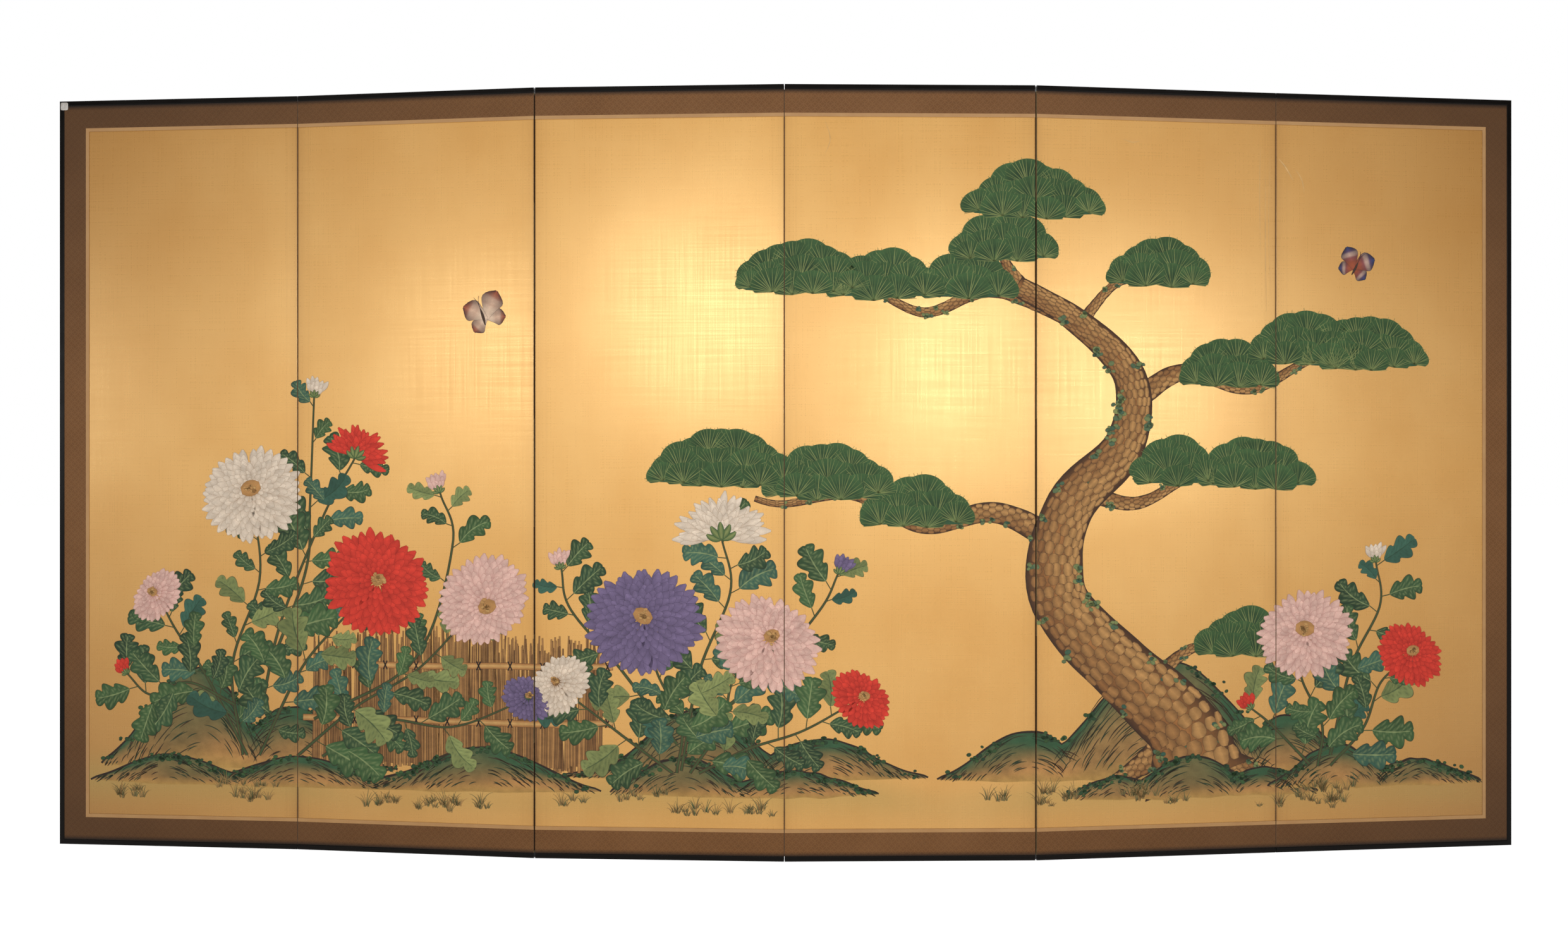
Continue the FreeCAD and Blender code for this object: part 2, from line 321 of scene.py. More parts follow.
class Strokes:
    """Painted shapes of the flat picture, gathered before they are cut to the panels."""

    def __init__(self):
        self.points, self.colours, self.levels, self.faces = [], [], [], []
        self.count = 0
        self.laid = 0

    def own_levels(self, count, low, high):
        """Levels for shapes that may overlap: steps of the golden ratio, so that no two are alike."""
        number = self.laid + np.arange(count)
        self.laid += count
        return low + (high - low) * (number * 0.618034 % 1)

    def patch(self, grid, colours, level):
        """Sheets on grids: an array of sheets, rows, columns from left to right, and two directions."""
        sheets, rows, columns = grid.shape[:3]
        colours = np.broadcast_to(colours, (sheets, rows, columns, 3))
        levels = np.broadcast_to(np.asarray(level, float).reshape(-1, 1, 1), (sheets, rows, columns))
        index = self.count + np.arange(sheets * rows * columns).reshape(sheets, rows, columns)
        quads = np.stack([index[:, :-1, 1:], index[:, 1:, 1:], index[:, 1:, :-1], index[:, :-1, :-1]], -1)
        self.points.append(grid.reshape(-1, 2))
        self.colours.append(colours.reshape(-1, 3))
        self.levels.append(levels.reshape(-1))
        self.faces.append(quads.reshape(-1, 4))
        self.count += sheets * rows * columns

    def ribbon(self, path, left, right, middle, edge, level, ink=None, line=0.9):
        """Ribbons along paths, as far to the left and right of each path point as the two widths say.

        Ink is the colour of a thin outline that goes round each ribbon.
        """
        along, square = directions(path)
        shape = path.shape[:2]
        left, right = np.broadcast_to(left, shape), np.broadcast_to(right, shape)
        middle, edge = (np.broadcast_to(colour, shape + (3,)) for colour in (middle, edge))
        if ink is None:
            sides = (left, 0 * left, -right)
            colours = (edge, middle, edge)
        else:
            before = path[:, :1] - along[:, :1] * line
            after = path[:, -1:] + along[:, -1:] * line
            path = np.concatenate([before, path, after], 1)
            around = ((0, 0), (1, 1), (0, 0))
            square, middle, edge = (np.pad(value, around, "edge") for value in (square, middle, edge))
            left, right = (np.pad(side, around[:2], "edge") for side in (left, right))
            middle[:, [0, -1]] = ink
            edge[:, [0, -1]] = ink
            rim = np.broadcast_to(ink, edge.shape)
            sides = (left + line, left, 0 * left, -right, -right - line)
            colours = (rim, edge, middle, edge, rim)
        grid = np.stack([path + square * side[..., None] for side in sides], 2)
        self.patch(grid, np.stack(colours, 2), level)

    def cut(self, name, material):
        """One piece for each panel that the shapes reach, cut at the edges of its painted area."""
        points = np.concatenate(self.points)
        colours = np.concatenate(self.colours)
        levels = np.concatenate(self.levels) * LAYER
        faces = np.concatenate(self.faces)
        across, up = points[faces][..., 0], points[faces][..., 1]
        for panel, place in PLACES.items():
            near = (across.max(1) > place.low) & (across.min(1) < place.high)
            near &= (up.max(1) > place.bottom) & (up.min(1) < place.top)
            if not near.any():
                continue
            used, index = np.unique(faces[near], return_inverse=True)
            flat = np.column_stack([points[used], levels[used]])
            mesh = new_mesh(f"{name}_panel_{panel}", flat, index.reshape(-1, 4))
            paint = np.column_stack([colours[used], np.ones(len(used))])
            layer = mesh.color_attributes.new("paint", "FLOAT_COLOR", "POINT")
            layer.data.foreach_set("color", paint.astype(np.float32).ravel())
            trim(mesh, ((0, place.low, -1), (0, place.high, 1), (1, place.bottom, -1), (1, place.top, 1)))
            if not mesh.polygons:
                bpy.data.meshes.remove(mesh)
                continue
            flat = coordinates(mesh)
            set_coordinates(mesh, place.world(flat[:, 0], flat[:, 1], flat[:, 2]))
            new_piece(f"{name}_panel_{panel}", mesh, material, place.body)


def trim(mesh, limits):
    """Cuts a flat mesh off past each limit, given as axis, value and side."""
    shape = bmesh.new()
    shape.from_mesh(mesh)
    for axis, value, side in limits:
        place, facing = [0.0, 0.0, 0.0], [0.0, 0.0, 0.0]
        place[axis], facing[axis] = value, side
        parts = shape.verts[:] + shape.edges[:] + shape.faces[:]
        bmesh.ops.bisect_plane(shape, geom=parts, dist=1e-5, plane_co=place, plane_no=facing,
                               clear_outer=True)
    shape.to_mesh(mesh)
    shape.free()


def smooth_path(points, count):
    """A smooth path through given points.

    Each stretch is the cubic whose slope at a point is half the step between that point's neighbours.
    """
    points = np.asarray(points, float)
    ends = np.vstack([2 * points[0] - points[1], points, 2 * points[-1] - points[-2]])
    place = np.linspace(0, len(points) - 1, count)
    index = np.minimum(place.astype(int), len(points) - 2)
    t = (place - index)[:, None]
    a, b, c, d = (ends[index + i] for i in range(4))
    curve = 2 * b + (c - a) * t + (2 * a - 5 * b + 4 * c - d) * t ** 2
    return 0.5 * (curve + (3 * b - a - 3 * c + d) * t ** 3)


def arcs(start, angle, length, curl, count):
    """Paths of equal steps whose direction turns evenly by curl, half of it to each side of the angle."""
    angle, length, curl = (np.broadcast_to(value, len(start)) for value in (angle, length, curl))
    t = np.linspace(0, 1, count)
    turn = angle[:, None] + curl[:, None] * (t[:-1] - 0.5)
    step = (length / (count - 1))[:, None, None] * np.stack([np.cos(turn), np.sin(turn)], -1)
    path = np.concatenate([np.zeros((len(start), 1, 2)), np.cumsum(step, axis=1)], axis=1)
    return start[:, None] + path


def wavy(rng, count, waves, height):
    """A gentle random line with a few waves, for hand-painted edges: a sum of sines of random phase."""
    t = np.linspace(0, 2 * np.pi, count)
    line = np.zeros(count)
    for wave in range(1, waves + 1):
        line += np.sin(wave * t + rng.uniform(0, 2 * np.pi)) / math.sqrt(wave)
    return height * line / math.sqrt(waves)


def between(values, place):
    """Rows of an array at fractional places between them."""
    index = np.minimum(place.astype(int), len(values) - 2)
    share = (place - index)[:, None]
    return values[index] * (1 - share) + values[index + 1] * share


def heading(vectors):
    """Angle of each vector to the picture's horizontal."""
    return np.arctan2(vectors[..., 1], vectors[..., 0])


# Paints, as ground mineral and shell pigments look on gold
INK = shade("#2B2019")
SOFT_INK = shade("#4A3524")
LEAF_DARK = shade("#253D29")
LEAF = shade("#3C5933")
LEAF_PALE = shade("#848C55")
LEAF_BLUE = shade("#375A4A")
VEIN = shade("#93A06C")
MOSS = shade("#36563A")
OCHRE = shade("#BC8A52")
EARTH = shade("#7A5532")
GROUND = shade("#B08A4C")
BARK = shade("#A06C3C")
BARK_DARK = shade("#3F2A1C")
STRAW = shade("#C99E62")
PETALS = {
    "red": (shade("#A8241A"), shade("#DB4030"), shade("#7E1610")),
    "pink": (shade("#C8958A"), shade("#E2BBAC"), shade("#A0685F")),
    "white": (shade("#C2A88F"), shade("#E4D3BE"), shade("#94795F")),
    "purple": (shade("#4B3F5C"), shade("#78688A"), shade("#30273A")),
}


def taper(t, first, last):
    """A width that changes evenly along a path."""
    return first + (last - first) * t


def dabs(strokes, rng, centres, size, first, last, ink, level):
    """Round dabs: short ribbons whose half width follows half a sine to the power of a half."""
    count = len(centres)
    length = size * rng.uniform(0.6, 1.15, count)
    lean = rng.uniform(-0.6, 0.6, count)
    start = centres - np.stack([np.cos(lean), np.sin(lean)], -1) * length[:, None] / 2
    path = arcs(start, lean, length, 0.0, 6)
    half = length[:, None] * 0.4 * np.sin(np.pi * np.linspace(0.06, 0.94, 6)) ** 0.5
    paint = blend(first, last, rng.uniform(0, 1, count))[:, None]
    strokes.ribbon(path, half, half, paint, paint * 0.8, level + 0.25 * (np.arange(count) % 2), ink, 0.7)


def chrysanthemum(strokes, rng, centre, radius, kind, lean=0.0, squash=1.0, shift=0.0, span=2 * np.pi):
    """Rings of petals, from the outer ring to the heart.

    A petal is a ribbon whose half width follows the sine of its length to a power, so that it is fullest
    near its rounded tip. Lean, squash and shift turn the bloom, narrow it and move its heart to one side,
    as when it is seen at a slant. Span is the angle that the petals fill, less than a full turn for a bloom
    seen from the side.
    """
    dark, light, ink = PETALS[kind]
    rings = max(4, int(radius / 15))
    whole = span > 6
    t = np.linspace(0, 1, 8)
    swell = np.sin(np.pi * t ** 1.7 * 0.93 + 0.09) ** 0.8
    turn = np.array([[math.cos(lean), math.sin(lean)], [-math.sin(lean), math.cos(lean)]])
    base = strokes.own_levels(1, *BLOOM_LEVELS)[0]
    for ring in range(rings):
        share = 1 - 0.86 * ring / rings
        count = int((10 + 24 * share * min(1.0, radius / 90)) * span / (2 * np.pi))
        outer, inner = radius * share, radius * share * (0.42 if whole else 0.07)
        number = np.arange(count)
        place = (number + 0.5 * (ring % 2) + rng.uniform(-0.12, 0.12, count)) / count - 0.5
        angle = np.pi / 2 + span * place
        length = (outer - inner) * rng.uniform(0.88, 1.08, count)
        direction = np.stack([np.cos(angle), np.sin(angle)], -1)
        path = arcs(direction * inner, angle, length, rng.uniform(-0.5, 0.5, count), 8)
        path = (path + [0.0, shift * radius * (1 - share)]) * [1.0, squash]
        half = span / 2 * outer / count * 0.93 * swell * rng.uniform(0.9, 1.06, count)[:, None]
        pale = blend(dark, light, 0.2 + 0.8 * t) * rng.uniform(0.9, 1.08, count)[:, None, None]
        rim = blend(pale, ink, np.full(8, 0.22))
        level = base + 0.4 * ring * 8 / rings + 0.2 * (number % 2)
        strokes.ribbon(centre + path @ turn, half, half, pale, rim, level, ink, 0.75)
    if not whole:
        calyx(strokes, centre - turn[1] * radius * 0.04, np.pi / 2 + lean, radius * 0.34)
        return
    heart = centre + turn[1] * shift * radius * squash
    dabs(strokes, rng, heart[None], 0.34 * radius, OCHRE, OCHRE, EARTH, HEART_LEVEL)
    spots = heart + rng.normal(0, 0.05 * radius, (18, 2))
    dabs(strokes, rng, spots, 0.05 * radius + 2, STRAW, OCHRE, EARTH, HEART_LEVEL + 0.2)


def calyx(strokes, foot, angle, size):
    """The cup of small green leaves under a bud, or a bloom seen from the side: a fan of short ribbons."""
    spread = np.array([-1.15, 1.15, -0.6, 0.6, 0.0])
    cup = arcs(np.repeat(foot[None], 5, 0), angle + spread, size, -spread * 0.9, 7)
    half = size * 0.2 * np.sin(np.pi * np.linspace(0.12, 0.95, 7)) ** 0.7
    strokes.ribbon(cup, half, half, LEAF_PALE, LEAF, HEART_LEVEL + 0.08 * np.arange(5), LEAF_DARK, 0.6)


def leaf_shapes(strokes, rng, start, angle, length):
    """Lobed leaves on grids: along the middle vein, and across it from left to right.

    The half width is half a sine times rounded teeth, and its points lean forward. The colour is darker to
    one side of the middle vein, pale on the veins and dark at the rim.
    """
    count, rows = len(start), 25
    t = np.linspace(0, 1, rows)
    v = np.array([1.0, 0.92, 0.62, 0.34, 0.07, 0.0, -0.07, -0.34, -0.62, -0.92, -1.0])
    path = arcs(start, angle, length, rng.uniform(-0.8, 0.8, count), rows)
    along, square = directions(path)
    teeth = 0.46 + 0.54 * np.abs(np.sin(np.pi * (2.55 * t + 0.2))) ** 0.75
    half = length[:, None] * 0.37 * np.sin(np.pi * np.clip(t, 0.01, 0.99) ** 0.85) ** 0.55 * teeth
    half = (half * rng.uniform(0.82, 1.1, (count, 1)))[..., None, None]
    out = square[:, :, None] * v[:, None] + 0.5 * along[:, :, None] * np.abs(v)[:, None]
    grid = path[:, :, None] + out * half
    pick = rng.uniform(0, 1, (count, 1, 1))
    body = np.where(pick[..., None] > 0.8, blend(LEAF, LEAF_PALE, pick), blend(LEAF_DARK, LEAF, pick * 1.2))
    body = np.where((rng.uniform(0, 1, (count, 1, 1)) < 0.22)[..., None], LEAF_BLUE, body)
    tone = 1 - 0.22 * (v > 0) * np.sign(rng.uniform(-1, 1, (count, 1, 1)))
    body = body * tone[..., None]
    row = (t[:, None] - 0.26 * np.abs(v)) * 6
    vein = np.exp(-((row - np.round(row)) / 0.16) ** 2) * (np.abs(v) < 0.8) * 0.45
    vein = np.where(np.abs(v) < 0.03, 0.9, vein) * (t[:, None] < 0.95)
    colour = body + (np.where(pick[..., None] > 0.8, LEAF_DARK, VEIN) - body) * vein[..., None]
    colour = blend(colour, INK, np.where(np.abs(v) > 0.95, 0.9, 0.0) * np.ones((rows, 1)))
    strokes.patch(grid, colour, strokes.own_levels(count, *LEAF_LEVELS))


def stem(strokes, rng, points, width, leaves, leaf_length):
    """A stem with leaves standing off it on both sides in turn."""
    path = smooth_path(points, 30)
    t = np.linspace(0, 1, 30)
    half = taper(t, width, width * 0.5)[None] / 2
    strokes.ribbon(path[None], half, half, LEAF, SOFT_INK, strokes.own_levels(1, *STEM_LEVELS), INK, 0.6)
    place = np.linspace(3, 28, leaves).astype(int)
    step = path[np.minimum(place + 1, 29)] - path[place - 1]
    side = np.where(np.arange(leaves) % 2, 1, -1)
    angle = heading(step) + side * rng.uniform(0.65, 1.3, leaves)
    length = leaf_length * rng.uniform(0.62, 1.08, leaves) * (1 - 0.22 * t[place])
    stalk = arcs(path[place], angle, length * 0.26, 0.0, 3)
    strokes.ribbon(stalk, np.full(3, 1.1), np.full(3, 1.1), LEAF, SOFT_INK, STALK_LEVEL)
    leaf_shapes(strokes, rng, stalk[:, -1], angle, length)


def flower_clumps(sizes):
    """Chrysanthemums of several colours in three clumps, with their stems, leaves and buds.

    A stem has its points and its number of leaves. A bloom has its place, its share of a full radius, its
    colour, and its lean, squash, shift and span. A bud has its tip, the way it points, its size and its
    colour.
    """
    rng = np.random.default_rng(SEED)
    strokes = Strokes()
    radius, leaf = sizes.bloom / MM, sizes.leaf / MM
    stems = (
        ([(430, 215), (405, 420), (470, 620), (452, 800)], 14),
        ([(470, 215), (560, 400), (640, 500), (742, 600)], 14),
        ([(560, 215), (700, 330), (850, 420), (985, 560)], 14),
        ([(440, 215), (340, 400), (270, 500), (232, 570)], 11),
        ([(620, 215), (760, 300), (930, 290), (1090, 350)], 11),
        ([(470, 300), (520, 520), (620, 760), (700, 900)], 13),
        ([(500, 430), (580, 640), (590, 790), (600, 1040)], 10),
        ([(600, 300), (840, 440), (930, 700), (900, 820)], 10),
        ([(410, 330), (300, 380), (210, 350), (150, 400)], 9),
        ([(1440, 195), (1450, 300), (1395, 420), (1372, 520)], 11),
        ([(1470, 195), (1540, 300), (1565, 400), (1622, 470)], 11),
        ([(1490, 195), (1600, 250), (1720, 290), (1830, 350)], 11),
        ([(1430, 195), (1340, 260), (1260, 320), (1190, 372)], 10),
        ([(1450, 200), (1490, 420), (1560, 600), (1540, 720)], 13),
        ([(1500, 300), (1640, 420), (1760, 560), (1800, 640)], 9),
        ([(1440, 260), (1310, 430), (1200, 560), (1180, 650)], 9),
        ([(2900, 195), (2910, 290), (2860, 400), (2872, 480)], 9),
        ([(2930, 195), (3010, 280), (3050, 380), (3108, 430)], 9),
        ([(2930, 220), (2980, 420), (3050, 560), (3040, 660)], 9),
        ([(2880, 200), (2790, 290), (2740, 330)], 5),
    )
    whole = 2 * np.pi
    blooms = (
        ((452, 812), 1.0, "white", 0.2, 0.9, 0.15, whole),
        ((748, 610), 1.08, "red", -0.5, 0.92, 0.1, whole),
        ((1000, 578), 0.94, "pink", 0.6, 0.84, -0.2, whole),
        ((224, 580), 0.55, "pink", 0.9, 0.72, 0.3, whole),
        ((1104, 356), 0.5, "purple", -0.4, 0.8, 0.2, whole),
        ((700, 902), 0.62, "red", -0.3, 0.9, 0, 3.4),
        ((1366, 530), 1.1, "purple", 0.15, 0.9, 0.12, whole),
        ((1642, 484), 0.98, "pink", -0.5, 0.86, 0.2, whole),
        ((1850, 360), 0.6, "red", -0.8, 0.76, 0.2, whole),
        ((1176, 388), 0.62, "white", 0.8, 0.8, 0.25, whole),
        ((1540, 722), 0.86, "white", 0.1, 0.9, 0, 3.5),
        ((2872, 494), 0.94, "pink", 0.2, 0.88, 0.15, whole),
        ((3122, 444), 0.68, "red", -0.6, 0.8, 0.2, whole),
    )
    buds = (
        ((600, 1040), 1.5, 44, "white"),
        ((898, 822), 1.9, 46, "pink"),
        ((150, 400), 2.2, 36, "red"),
        ((1802, 642), 1.2, 44, "purple"),
        ((1178, 652), 1.8, 42, "pink"),
        ((3038, 662), 1.7, 42, "white"),
        ((2740, 330), 2.3, 38, "red"),
    )
    for points, leaves in stems:
        stem(strokes, rng, points, 6.5, leaves, leaf)
    for centre, share, *form in blooms:
        chrysanthemum(strokes, rng, np.array(centre, float), radius * share, *form)
    for tip, angle, size, kind in buds:
        chrysanthemum(strokes, rng, np.array(tip, float), size, kind, angle - np.pi / 2, 1.0, 0.0, 1.5)
    return strokes


def needle_clump(strokes, rng, centre, width, height, length):
    """A flat-bottomed cloud of needle fans over a dark green wash.

    The fans stand along three low arches that meet at their ends, the back one highest. A fan is most of
    half a disc, rounded off at its lower corners and dark at its foot, with tapered needles spread evenly
    over it.
    """
    t = np.linspace(0, 1, 15)
    spine = np.stack([centre[0] + width * (t - 0.5), centre[1] + height * 0.18 * np.sin(np.pi * t)], -1)
    half = height * 0.34 * np.sin(np.pi * t) ** 0.5 + 2
    rough = half * (1 + wavy(rng, 15, 5, 0.12))
    strokes.ribbon(spine[None], rough, half * 0.8, LEAF_DARK, MOSS, NEEDLE_LEVEL)
    needles, half_fan = 19, 1.45
    spread = np.linspace(half_fan, -half_fan, needles)
    reach = np.array([0.05, 0.45, 0.8, 0.98])[:, None] * (1 - 0.3 * (spread / half_fan) ** 6)
    for row in range(3):
        count = max(3, int(width / (length * 0.62)) - row)
        place = (np.arange(count) + 0.5 + rng.uniform(-0.12, 0.12, count)) / count - 0.5
        lift = np.sqrt(np.clip(1 - (2 * place) ** 2, 0, 1))
        across = centre[0] + width * place * (0.82 + 0.06 * row)
        base = np.stack([across, centre[1] + height * (0.5 - 0.36 * row) * lift ** 2], -1)
        base[:, 1] += rng.uniform(-3, 3, count)
        size = length * rng.uniform(0.85, 1.08, count) * (0.45 + 0.55 * lift)
        angle = np.pi / 2 - 0.7 * place[:, None] + spread
        ray = np.stack([np.cos(angle), np.sin(angle)], -1)
        fan = base[:, None, None] + ray[:, None] * (size[:, None, None] * reach)[..., None]
        green = blend(LEAF_DARK * 0.6, LEAF, reach ** 1.3) * rng.uniform(0.85, 1.15, (count, 1, 1, 1))
        level = NEEDLE_LEVEL + 0.3 + 0.5 * row + 0.25 * (np.arange(count) % 2)
        level = level + strokes.own_levels(count, 0, 0.06)
        strokes.patch(fan, green, level)
        angle = (angle + rng.uniform(-0.04, 0.04, angle.shape)).ravel()
        long = (size[:, None] * reach[-1]).ravel() * rng.uniform(0.94, 1.12, len(angle))
        foot = np.repeat(base, needles, axis=0)
        path = arcs(foot, angle, long, rng.uniform(-0.1, 0.1, len(angle)), 3)
        thin = np.array([0.5, 0.9, 0.4])
        pale = blend(LEAF, LEAF_PALE, rng.uniform(0.1, 0.9, len(angle)))[:, None]
        strokes.ribbon(path, thin, thin, pale, pale, np.repeat(level, needles) + 0.1)


def bark_scales(strokes, rng, path, half, columns, level):
    """Rows of bark scales along a path, which has half its width given at each point.

    The rows are spaced by the scales' own size, and every other row is shifted by half a scale. Across the
    wood the scales lie at equal angles round it, so they crowd together at its edges. It returns how many
    rows fit on the path.
    """
    count = len(path)
    along, square = directions(path)
    size = 9 + 0.27 * half
    stretches = np.linalg.norm(np.diff(path, axis=0), axis=1)
    steps = np.concatenate([[0], np.cumsum(stretches / (size[1:] * 0.92))])
    rows = np.interp(np.arange(1, int(steps[-1])), steps, np.arange(count))
    row, column = (value.ravel() for value in np.meshgrid(rows, np.arange(columns), indexing="ij"))
    odd = np.repeat(np.arange(len(rows)) % 2, columns)
    round_wood = ((column + 0.25 + 0.5 * odd) / columns * 2 - 1 + rng.uniform(-0.05, 0.05, len(row))) * 1.25
    width = np.interp(row, np.arange(count), half)
    scale = np.interp(row, np.arange(count), size) * rng.uniform(0.8, 1.12, len(row))
    onward = between(along, row)
    middle = between(path, row) + between(square, row) * (width * np.sin(round_wood) * 0.93)[:, None]
    angle = heading(onward) + rng.uniform(-0.12, 0.12, len(row))
    patch = arcs(middle - onward * scale[:, None] / 2, angle, scale, 0.0, 7)
    rounded = np.sin(np.pi * np.linspace(0.05, 0.96, 7)) ** 0.3
    body = (width / columns * 1.1 * np.cos(round_wood * 0.92))[:, None] * rounded
    lit = np.clip(0.62 - 0.55 * np.sin(round_wood) + rng.uniform(-0.25, 0.2, len(row)), 0, 1)
    paint = blend(blend(EARTH, BARK, 0.5), blend(OCHRE, STRAW, 0.3), lit)[:, None]
    wobble = rng.uniform(0.85, 1.12, (2, len(row), 7))
    rim = blend(paint, BARK_DARK, np.full(7, 0.5))
    levels = level + 0.4 + 0.2 * odd + 0.1 * (column % 2)
    strokes.ribbon(patch, body * wobble[0], body * wobble[1], paint, rim, levels, BARK_DARK, 1.1)
    return steps[-1]


def pine_wood(strokes, rng, points, first, last, level, flare=0.0):
    """Trunk or bough: a ribbon with waving edges and bark scales, and tufts of moss near its edges.

    First and last are its widths at both ends, and flare is how much its foot spreads to each side. The
    trunk is wide enough for six scales side by side, and a bough has three.
    """
    count = 80
    path = smooth_path(points, count)
    t = np.linspace(0, 1, count)
    half = (last + (first - last) * (1 - t) ** 1.15) / 2 + flare * np.exp(-t / 0.05)
    left, right = (half * (1 + wavy(rng, count, 12, 0.10)) for _ in "lr")
    strokes.ribbon(path[None], left, right, BARK, BARK_DARK, level, INK, 1.8)
    columns = 6 if first > 100 else 3
    rows = bark_scales(strokes, rng, path, half, columns, level)
    tufts = max(2, int(rows * columns / 12))
    at = rng.integers(2, count - 6, tufts)
    _, square = directions(path)
    edge = path[at] + square[at] * (half[at] * rng.choice([-0.84, 0.84], tufts))[:, None]
    spots = np.repeat(edge, 5, axis=0) + rng.normal(0, 2 + 0.022 * first, (tufts * 5, 2))
    dabs(strokes, rng, spots, 6 + 0.03 * first, LEAF_BLUE, LEAF_PALE, LEAF_DARK, level + 0.85)


def old_pine(sizes):
    """An old leaning pine with long boughs and flat clouds of needles along them.

    A bough has its points, its first and last width, and its clouds: the share of the bough at which each
    one sits, its width and its height.
    """
    rng = np.random.default_rng(SEED + 1)
    strokes = Strokes()
    width, needle = sizes.trunk / MM, sizes.needle / MM
    trunk = [(2622, 172), (2572, 300), (2425, 430), (2290, 590), (2315, 780), (2445, 930), (2455, 1080),
             (2335, 1200), (2200, 1280)]
    boughs = (
        ([(2310, 700), (2150, 775), (1990, 745), (1830, 815), (1660, 795), (1520, 850)], 54, 10,
         ((0.42, 240, 84), (0.66, 290, 100), (0.97, 330, 108))),
        ([(2445, 1010), (2580, 1090), (2740, 1055), (2900, 1125), (3020, 1105)], 48, 10,
         ((0.42, 220, 80), (0.70, 270, 94), (0.98, 300, 100))),
        ([(2310, 1215), (2140, 1270), (1990, 1220), (1840, 1285), (1700, 1265)], 38, 8,
         ((0.34, 210, 76), (0.64, 250, 88), (0.97, 290, 96))),
        ([(2330, 830), (2470, 795), (2620, 860), (2770, 830)], 40, 8, ((0.55, 210, 76), (0.96, 270, 92))),
        ([(2215, 1272), (2170, 1350), (2235, 1440)], 28, 10, ((0.45, 230, 78), (1.0, 310, 100))),
        ([(2490, 380), (2610, 470), (2740, 450)], 36, 8, ((0.95, 230, 80),)),
        ([(2340, 1195), (2430, 1290), (2550, 1285)], 26, 8, ((0.9, 230, 78),)),
    )
    roots = ([(2600, 280), (2690, 215), (2812, 160)], [(2560, 260), (2480, 205), (2388, 158)])
    for root in roots:
        pine_wood(strokes, rng, root, 84, 14, BOUGH_LEVEL)
    for points, first, last, clumps in boughs:
        seen = smooth_path(points, 101)[:int(clumps[-1][0] * 90)]
        pine_wood(strokes, rng, seen, first, last, BOUGH_LEVEL)
    pine_wood(strokes, rng, trunk, width, 42, TRUNK_LEVEL, width * 0.2)
    for points, _, _, clumps in boughs:
        path = smooth_path(points, 101)
        for place, wide, high in clumps:
            needle_clump(strokes, rng, path[int(place * 100)] + [0, high * 0.12], wide, high, needle)
    return strokes


def slope_folds(strokes, rng, across, foot, top, base, level):
    """Long folds that run down the slopes of a bank, to whichever side each slope falls."""
    columns = len(across)
    count = int((across[-1] - across[0]) / 3.2)
    place = rng.integers(2, columns - 2, count)
    start = np.stack([across[place], foot[place] + (top - foot)[place] * rng.uniform(0.2, 0.97, count)], -1)
    slope = np.arctan2(np.gradient(top), np.gradient(across))[place]
    down = np.where(slope > 0, np.pi + slope * 0.8 + 0.35, slope * 0.8 - 0.35)
    reach = (10 + 0.42 * (start[:, 1] - foot[place])) * rng.uniform(0.6, 1.5, count)
    fold = arcs(start, down, reach, np.where(slope > 0, 0.9, -0.9) * rng.uniform(0.2, 1, count), 7)
    fold[..., 1] = np.maximum(fold[..., 1], base - 6)
    half = 1.25 * np.sin(np.pi * np.linspace(0.08, 0.96, 7))
    tone = blend(BARK_DARK, LEAF_DARK, rng.uniform(0, 1, count))[:, None]
    strokes.ribbon(fold, half, half, tone, tone, level)


def bank(strokes, rng, low, high, base, peaks, level):
    """A rounded bank of earth: rows from its top line down to its foot.

    The top line is the highest of several smooth bumps, each given by its middle, its width and its height.
    The bank is green above and ochre below, and fades into the ground wash at its foot, with long folds
    down its slopes and low plants along its top.
    """
    columns = 90
    across = np.linspace(low, high, columns)
    ends = np.sin(np.pi * (across - low) / (high - low)) ** 0.45
    top = np.zeros(columns)
    for centre, wide, tall in peaks:
        top = np.maximum(top, tall * np.exp(-np.abs((across - centre) / wide) ** 2.4))
    top = base + (top + 14 + wavy(rng, columns, 15, 5)) * ends
    foot = base - 9 * ends + wavy(rng, columns, 9, 4.0) * ends
    rise = np.linspace(1, 0, 12)
    up = foot[:, None] + (top - foot)[:, None] * rise
    grid = np.stack([np.broadcast_to(across[:, None], up.shape), up], -1)
    patches = 0.16 * np.sin(across / 37.0)[:, None] * np.cos(3 * rise)
    patches = patches + 0.14 * np.sin(across[:, None] / 91.0 - 5 * rise)
    green = np.clip(rise ** 1.1 * 1.3 - 0.12 + patches, 0, 1)
    colour = blend(blend(OCHRE, EARTH, 0.3 + patches), MOSS, green)
    colour = blend(colour, GROUND, np.clip(1 - 4 * rise, 0, 1) * np.ones((columns, 1)))
    strokes.patch(grid[None], colour[None], level)
    thin = 1.7 + np.abs(wavy(rng, columns, 11, 1.2))
    strokes.ribbon(np.stack([across, top], -1)[None], thin, thin, INK, INK, level + 0.25)
    slope_folds(strokes, rng, across, foot, top, base, level + 0.5)
    spots = rng.integers(3, columns - 3, int((high - low) / 26))
    crest = np.stack([across[spots], top[spots] - 5], -1)
    crest = np.repeat(crest, 5, axis=0) + rng.normal(0, 1, (len(spots) * 5, 2)) * [11, 4]
    dabs(strokes, rng, crest, 9, LEAF_DARK, LEAF, INK, level + 0.7)


